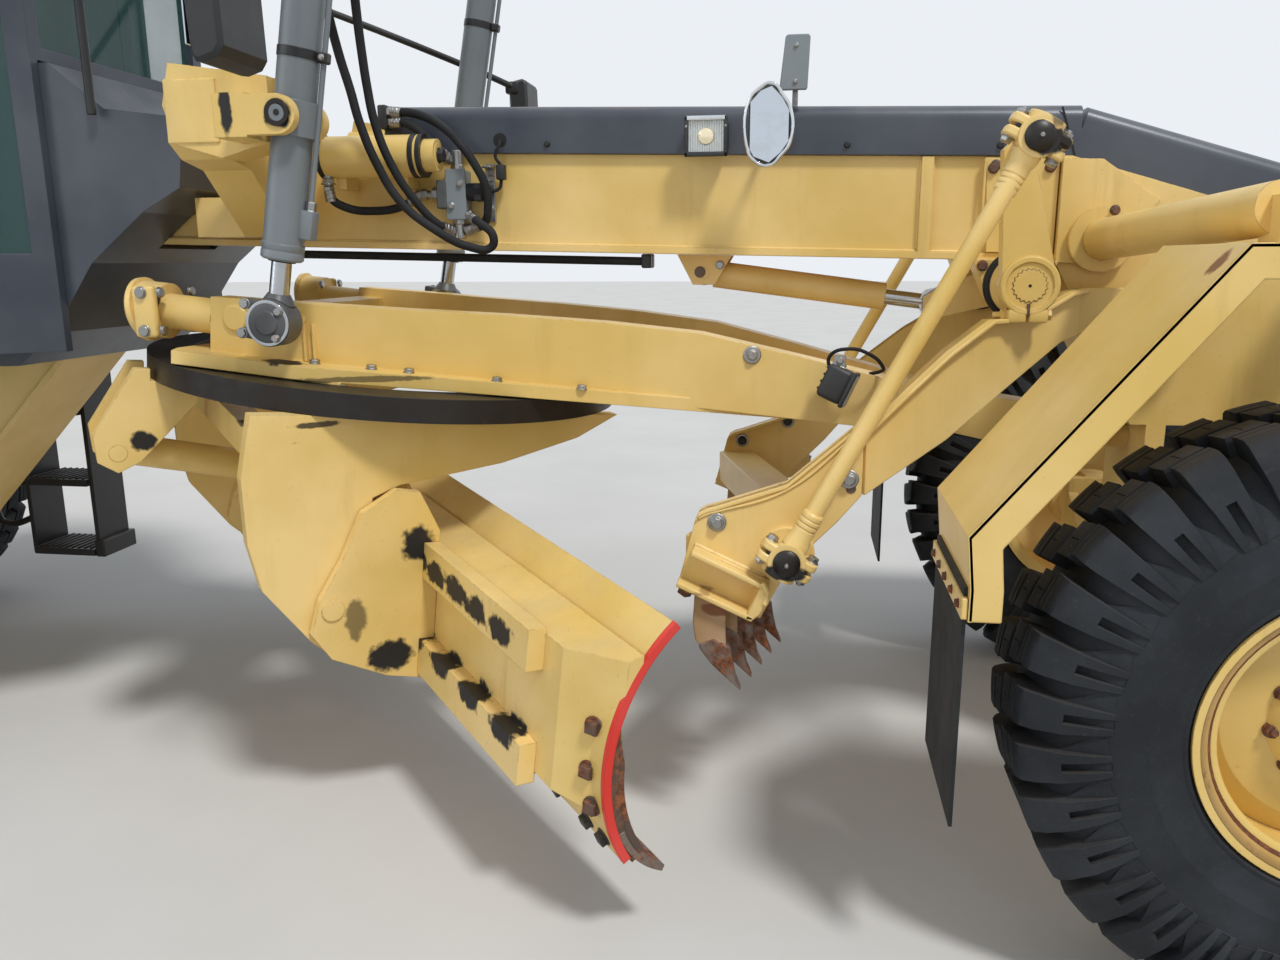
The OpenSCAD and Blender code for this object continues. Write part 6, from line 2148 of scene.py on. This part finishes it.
@dataclass
class LiftCylinders:
    """Glands, pipes, clamps and ball housings of the two lift cylinders.

    Attributes:
        bench: The bench.
        ball: Ball of the right cylinder.
        lean: How far the cylinders lean forward, in degrees.
    """

    bench: Bench
    ball: Point = (-2.602, 0.680, 1.509)
    lean: float = 10.15

    def _along(self, side: int) -> Bench:
        """Gives the bench in the frame of one cylinder, from its ball upwards."""
        ball = (self.ball[0], side * self.ball[1], self.ball[2])
        return self.bench.at(self.bench.frame @ turned_at(ball, self.lean))

    def _barrel(self, side: int) -> None:
        """Dresses one barrel.

        Args:
            side: -1 for the right side and 1 for the left.
        """
        b = self._along(side)
        gland = [(0.0285, 0.170), (0.050, 0.170), (0.0565, 0.175), (0.0565, 0.192), (0.0545, 0.196),
                 (0.0565, 0.200), (0.0565, 0.214), (0.054, 0.216), (0.0285, 0.216)]
        b.turned(gland, (0, 0, 0), (0, 0, 1), BARREL_PAINT, 40)
        wiper = [(0.0278, 0.1655), (0.036, 0.1655), (0.037, 0.1705), (0.0278, 0.1705)]
        b.turned(wiper, (0, 0, 0), (0, 0, 1), SEAL_RUBBER, 32)
        b.block((0.048, -0.020, 0.235), (0.086, 0.020, 0.312), BARREL_PAINT, 0.004, 2)
        b.rod((0.0690, 0, 0.310), (0.0690, 0, 0.336), 0.0155, ZINC, 6, 0.0015)
        b.rod((0.0690, 0, 0.334), (0.0690, 0, 1.180), 0.0075, BARREL_PAINT, 14)
        for z in (0.70, 1.06):
            b.turned([(0.0538, -0.012), (0.0562, -0.012), (0.0562, 0.012), (0.0538, 0.012)], (0, 0, z),
                     (0, 0, 1), BLACK_PAINT, 40)
            b.block((0.053, -0.016, z - 0.014), (0.082, 0.016, z + 0.014), BLACK_PAINT, 0.004)
            b.fixed([(0.068, side * 0.016, z)], (0, side, 0), 0.007, ZINC)
        top = [(0.0, 1.352), (0.057, 1.352), (0.057, 1.366), (0.050, 1.371), (0.0, 1.371)]
        b.turned(top, (0, 0, 0), (0, 0, 1), BARREL_PAINT, 40)
        pin = self.bench
        ring = [(0.021, 0), (0.034, 0), (0.033, 0.0012), (0.022, 0.0012)]
        place = (-2.5031, side * 0.7803, 2.043)
        pin.turned(ring, place, (0, side, 0), GREASY, 32)
        pin.rod(place, (place[0], place[1] + side * 0.0022, place[2]), 0.008, GREASY, 16, 0.0006)

    def _rod(self, side: int) -> None:
        """Dresses the ball housing at the foot of one rod.

        Args:
            side: -1 for the right side and 1 for the left.
        """
        b = self._along(side)
        shell = [(0.0618, -0.024), (0.0645, -0.022), (0.0645, 0.048), (0.058, 0.0535), (0.034, 0.0565),
                 (0.030, 0.0610), (0.0, 0.0615), (0.0, 0.0535), (0.0618, 0.0535)]
        b.turned(shell, (0, 0, 0), (0, side, 0), HOUSING, 44)
        neck = [(0.0272, 0.050), (0.046, 0.050), (0.040, 0.062), (0.033, 0.073), (0.0305, 0.078),
                (0.0272, 0.078)]
        b.turned(neck, (0, 0, 0), (0, 0, 1), HOUSING, 36)
        for z in (-0.040, 0.040):
            b.block((-0.086, side * -0.016, z - 0.013), (-0.036, side * 0.046, z + 0.013), HOUSING, 0.006, 2)
            b.fixed([(-0.072, side * 0.046, z)], (0, side, 0), 0.0135, ZINC)
            b.fixed([(0.030, side * 0.0545, z * 0.9)], (0, side, 0), 0.0105, ZINC)

    def build(self) -> None:
        """Makes both cylinders' parts."""
        for side, word in SIDES:
            self._barrel(side)
            self.bench.piece(f"lift_barrel_fittings_{word}", f"lift_barrel_{word}", Slot.SLATE)
            self._rod(side)
            self.bench.piece(f"lift_ball_housing_{word}", f"lift_rod_{word}", Slot.STEEL)


@dataclass
class DrawbarHardware:
    """Bolts, bosses, ribs and the lamp of the drawbar.

    Attributes:
        bench: The bench.
        plate: Height of the drawbar's plate over the line through its pivot.
        bolts: Feet of the bolts beside the right beam, in X and distance from the middle.
    """

    bench: Bench
    plate: float = 0.0052
    bolts: tuple[Pair, ...] = (
        (-2.553, 0.574), (-2.395, 0.543), (-2.290, 0.522), (-2.041, 0.474), (-1.800, 0.424),
    )

    def _deck(self, x: float) -> float:
        """Height of the drawbar's plate at a place."""
        pivot_x, _, pivot_z = DRAWBAR_PIVOT
        return pivot_z + math.tan(math.radians(DRAWBAR_TILT)) * (pivot_x - x) + self.plate

    def _lamp(self) -> None:
        """Models the small lamp that looks at the blade, with its bracket and cable."""
        b = self.bench
        turn = turned_at((-1.055, -0.335, 1.315), 24) @ turned_at((0, 0, 0), -12, "Z")
        b.block((-0.048, -0.036, -0.052), (0.030, 0.036, 0.050), PLASTIC, 0.014, 3, turn)
        b.block((0.026, -0.040, -0.056), (0.040, 0.040, 0.054), PLASTIC, 0.006, 2, turn)
        b.block((0.038, -0.033, -0.049), (0.0425, 0.033, 0.047), LENS, 0.002, 1, turn)
        for index in range(4):
            z = -0.035 + 0.022 * index
            b.block((-0.052, -0.026, z), (-0.046, 0.026, z + 0.008), PLASTIC, 0.002, 1, turn)
        b.block((-1.075, -0.330, 1.365), (-1.035, -0.2450, 1.373), ZINC, 0.001)
        b.block((-1.072, -0.338, 1.355), (-1.038, -0.328, 1.400), ZINC, 0.001)
        b.fixed([(-1.055, -0.338, 1.385)], (0, -1, 0), 0.009, ZINC)
        b.tube(((-1.075, -0.320, 1.345), (-1.085, -0.330, 1.395), (-1.030, -0.345, 1.420),
                (-0.965, -0.330, 1.400), (-0.930, -0.290, 1.365), (-0.930, -0.235, 1.345),
                (-0.960, -0.215, 1.335)), 0.0055, HOSE_RUBBER, 3)

    def _end_cap(self, side: int) -> None:
        """Dresses the cap of the side shift cylinder.

        Args:
            side: -1 for the right side and 1 for the left.
        """
        b = self.bench
        x, y, z = -3.062, side * 0.510, 1.532
        dome = [(0.0, 0.0), (0.094, 0.0), (0.094, 0.016), (0.086, 0.024), (0.070, 0.030), (0.030, 0.044),
                (0.0, 0.048)]
        b.turned(dome, (x - 0.035, y, z + 0.004), (-1, 0, -0.108), PAINT, 40)
        b.rod((x - 0.080, y, z), (x - 0.100, y, z - 0.002), 0.009, ZINC, 10, 0.001)
        for turn in (35, 145, 215, 325):
            spot = (x + 0.052, y + 0.095 * math.cos(math.radians(turn)),
                    z + 0.095 * math.sin(math.radians(turn)))
            b.fixed([spot], (1, 0, 0.108), 0.014, ZINC, Head.PIN)
        out = y + side * 0.094
        b.block((x - 0.030, out, z - 0.075), (x + 0.040, out - side * 0.03, z + 0.075), PAINT, 0.012, 3)
        b.fixed([(x + 0.005, out, z + 0.055), (x + 0.005, out, z - 0.055)], (0, side, 0), 0.0155, ZINC,
                Head.PIN)

    def build(self) -> None:
        """Makes the drawbar's hardware."""
        b = self.bench
        for side in (-1, 1):
            spots = [(x, side * y, self._deck(x)) for x, y in self.bolts]
            b.fixed(spots, (0.108, 0, 0.994), 0.0145, ZINC)
            washer = [(0, 0), (0.027, 0), (0.027, 0.003), (0.024, 0.0055), (0, 0.006)]
            boss = (-1.3096, side * 0.2998, 1.3958)
            axis = (0.19, side * 0.98, 0)
            b.turned(washer, boss, axis, ZINC, 28)
            b.fixed([(boss[0] + 0.001, boss[1] + side * 0.0055, boss[2])], axis, 0.014, ZINC)
            ring = [(0, 0), (0.040, 0), (0.040, 0.004), (0.034, 0.009), (0, 0.010)]
            b.turned(ring, (-2.7935, side * 0.560, 1.5127), (0, side, 0), PAINT, 32)
            for x, y in ((-2.585, 0.5502), (-2.560, 0.5453)):
                b.block((x - 0.004, side * (y - 0.004), self._deck(x)),
                        (x + 0.004, side * (y + 0.016), self._deck(x) + 0.110), PAINT, 0.002)
            self._end_cap(side)
        b.piece("drawbar_hardware", "drawbar", Slot.STEEL)
        self._lamp()
        b.piece("drawbar_lamp", "drawbar", Slot.BLACK)


@dataclass
class Fenders:
    """Lips of the front fenders and the strips that hold their flaps.

    Attributes:
        bench: The bench.
        sides: Inner and outer edge of a fender.
        sheet: Thickness of its sheet.
    """

    bench: Bench
    sides: Pair = (0.770, 1.235)
    sheet: float = 0.008

    def build(self) -> None:
        """Makes the lips, the strips and their bolts."""
        b = self.bench
        high = [(-0.812, 0.930), (-0.812, 1.000), (-0.823, 1.114), (-0.354, 1.698), (0.384, 1.698),
                (0.648, 1.404)]
        low = [(-0.744, 0.930), (-0.744, 1.000), (-0.752, 1.090), (-0.322, 1.630), (0.353, 1.630),
               (0.590, 1.360)]
        for side in (-1, 1):
            for edge in (self.sides[0] + self.sheet / 2, self.sides[1] - self.sheet / 2):
                stations = (side * (edge - self.sheet / 2), side * (edge + self.sheet / 2))
                b.drawn(high + list(reversed(low)), stations, FENDER_PAINT, Along.Y, 0.0025)
            b.block((-0.826, side * (self.sides[0] + 0.004), 0.934),
                    (-0.8125, side * (self.sides[1] - 0.004), 0.980), FENDER_PAINT, 0.002)
            spots = [(-0.826, side * (self.sides[0] + 0.045 + 0.094 * index), 0.957) for index in range(5)]
            b.fixed(spots, (-1, 0, 0), 0.0095, RUSTY)
        b.piece("fender_lips", "front_frame", Slot.YELLOW)


@dataclass
class Station:
    """Operator's seat, column and wheel; they replace the plain station.

    Attributes:
        bench: The bench.
        deck: Height of the cab's floor.
        cushion: Outline of the seat's cushion in X and Z.
        back: Outline of its back.
    """

    bench: Bench
    deck: float = 1.4405
    cushion: Outline = ((-4.600, 1.815), (-4.130, 1.830), (-4.095, 1.880), (-4.120, 1.925), (-4.300, 1.915),
                        (-4.560, 1.925), (-4.605, 1.900))
    back: Outline = ((-4.600, 1.935), (-4.480, 1.930), (-4.500, 2.100), (-4.530, 2.300), (-4.560, 2.540),
                     (-4.590, 2.565), (-4.645, 2.555), (-4.655, 2.520))

    def _seat(self) -> None:
        """Makes the cushions of the seat."""
        for name, outline, half in (("seat_cushion", self.cushion, 0.250), ("seat_back", self.back, 0.230)):
            self.bench.drawn(outline, (-half, 0.100 - half, half - 0.100, half), FABRIC, Along.Y, 0.022)
            self.bench.piece(name, "front_frame", Slot.RUBBER, (), 60.0)

    def build(self) -> None:
        """Makes the station."""
        b = self.bench
        self._seat()
        b.block((-4.180, -0.230, self.deck), (-3.815, 0.230, 1.760), PLASTIC, 0.02, 3)
        b.block((-4.560, -0.200, self.deck), (-4.200, 0.200, 1.560), PLASTIC, 0.01, 2)
        for index in range(4):
            z = 1.575 + index * 0.055
            inset = 0.012 * (index % 2)
            b.block((-4.545 + inset, -0.188, z), (-4.215 - inset, 0.188, z + 0.045), SEAL_RUBBER, 0.014, 3)
        b.block((-4.580, -0.225, 1.792), (-4.150, 0.225, 1.818), PLASTIC, 0.006, 2)
        for side in (-1, 1):
            b.block((-4.500, side * 0.262, 2.080), (-4.130, side * 0.340, 2.130), PLASTIC, 0.016, 4)
            b.block((-4.480, side * 0.250, 1.860), (-4.400, side * 0.300, 2.082), PLASTIC, 0.01, 2)
            for index in range(4):
                x = -4.245 + 0.032 * index
                b.rod((x, side * 0.300, 2.125), (x + 0.004, side * 0.300, 2.165), 0.0045, CHROME, 10)
                b.rod((x + 0.004, side * 0.300, 2.160), (x + 0.006, side * 0.300, 2.190), 0.0095, PLASTIC, 14,
                      0.004)
        b.rod((-3.900, 0, 1.759), (-4.000, 0, 2.115), 0.045, PLASTIC, 28, 0.004)
        b.block((-4.020, -0.110, 2.050), (-3.930, 0.110, 2.120), PLASTIC, 0.02, 3)
        w = b.at(b.frame @ turned_at((-4.010, 0, 2.150), -16))
        rim = []
        for index in range(12):
            turn = math.radians(30 * index)
            rim.append((0.176 + 0.0135 * math.cos(turn), 0.012 + 0.0135 * math.sin(turn)))
        w.turned(rim, (0, 0, 0), (0, 0, 1), PLASTIC, 56)
        w.turned([(0, -0.03), (0.030, -0.03), (0.052, 0.004), (0.050, 0.016), (0.030, 0.022), (0, 0.023)],
                 (0, 0, 0), (0, 0, 1), PLASTIC, 32)
        for turn in (90, 210, 330):
            way = Vector((math.cos(math.radians(turn)), math.sin(math.radians(turn)), 0))
            w.rod(tuple(way * 0.040), tuple(way * 0.172 + Vector((0, 0, 0.012))), 0.011, PLASTIC, 14)
        w.rod((0.150, 0.090, 0.012), (0.150, 0.090, 0.066), 0.014, PLASTIC, 16, 0.005)
        b.piece("operator_station_dressed", "front_frame", Slot.BLACK, ("operator_station",))


@dataclass
class Steps:
    """Toe plates and guard rails of the cab steps, with treads that grip.

    Attributes:
        bench: The bench.
    """

    bench: Bench

    def build(self) -> None:
        """Makes the steps' parts."""
        b = self.bench
        loop = ((-4.599, 0.690), (-4.830, 0.650), (-4.850, 0.480), (-4.640, 0.520), (-4.599, 0.590))
        for side in (-1, 1):
            b.loop([(x, side * 0.740, z) for x, z in loop], 0.015, BLACK_PAINT)
            b.block((-4.282, side * 0.628, 0.374), (-4.235, side * 0.852, 0.450), BLACK_PAINT, 0.004)
            for z in (0.410, 0.730, 1.050):
                for index in range(9):
                    x = -4.560 + index * 0.031
                    b.block((x, side * 0.632, z), (x + 0.007, side * 0.850, z + 0.006), BLACK_PAINT, 0.0015)
        b.piece("step_treads", "front_frame", Slot.BLACK)


@dataclass
class BeamTrim:
    """Small things on the beam and its cover: seam, wire, tab, nipples.

    Attributes:
        bench: The bench.
    """

    bench: Bench

    def build(self) -> None:
        """Makes the trim."""
        b = self.bench
        for side in (-1, 1):
            b.drawn(((-0.4625, 2.088), (-0.4565, 2.088), (-0.4135, 1.957), (-0.4195, 1.957)),
                    (side * 0.1678, side * 0.1694), SEAL_RUBBER, Along.Y, 0.0)
        b.rod((-2.098, -0.1678, 2.034), (-2.098, -0.1694, 2.034), 0.021, SEAL_RUBBER, 24, 0.0004)
        b.tube(((-2.098, -0.170, 2.032), (-2.094, -0.188, 2.020), (-2.108, -0.190, 1.985),
                (-2.092, -0.186, 1.958)), 0.005, HOSE_RUBBER, 3)
        b.block((-2.106, -0.200, 1.915), (-2.078, -0.172, 1.960), PLASTIC, 0.004, 2)
        b.tube(((-2.092, -0.186, 1.916), (-2.098, -0.190, 1.890), (-2.130, -0.195, 1.880),
                (-2.150, -0.190, 1.880)), 0.005, HOSE_RUBBER, 3)
        b.block((-2.150, -0.158, 1.790), (-2.122, -0.1502, 1.965), ZINC, 0.0015)
        b.block((-2.150, -0.200, 1.950), (-2.122, -0.1502, 1.957), ZINC, 0.0015)
        b.fixed([(-2.136, -0.158, 1.92), (-2.136, -0.158, 1.83)], (0, -1, 0), 0.009, ZINC)
        b.rod((-1.4876, -0.0722, 1.6344), (-1.4876, -0.0752, 1.6344), 0.0175, RUSTY, 20, 0.0006)
        b.fixed([(-1.4248, -0.0722, 1.6558)], (0, -1, 0), 0.012, ZINC)
        b.fixed([(-0.3064, -0.2115, 1.8032)], (0, -1, 0), 0.0125, RUSTY)
        for x, z in ((-0.6293, 1.9336), (-0.4761, 1.9308)):
            for side in (-1, 1):
                b.fixed([(x, side * 0.1722, z)], (0, side, 0), 0.0135, RUSTY)
        b.piece("beam_trim", "front_frame", Slot.BLACK)


def main() -> None:
    """Builds the scene."""
    logging.basicConfig(level=logging.INFO, format="%(name)s: %(message)s")
    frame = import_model()
    bpy.ops.object.select_all(action="DESELECT")
    bpy.context.scene.view_settings.view_transform = "Standard"
    ViewCamera().build()
    Studio().build()
    palette = Palette()
    FrameDressing(palette, frame).build()
    bench = Bench(palette)
    Tyres(bench).build()
    WheelHardware(bench).build()
    Hoses(bench).build()
    BeamHardware(bench).build()
    Mirrors(bench).build()
    Lamps(bench).build()
    Scarifier(bench).build()
    TieRodJoints(bench).build()
    LeverEnds(bench).build()
    LiftCylinders(bench).build()
    DrawbarHardware(bench).build()
    Fenders(bench).build()
    Station(bench).build()
    Steps(bench).build()
    BeamTrim(bench).build()
    BladeEnds(bench.at(BLADE), bench).build()
    bench.clear()


if __name__ == "__main__":
    main()
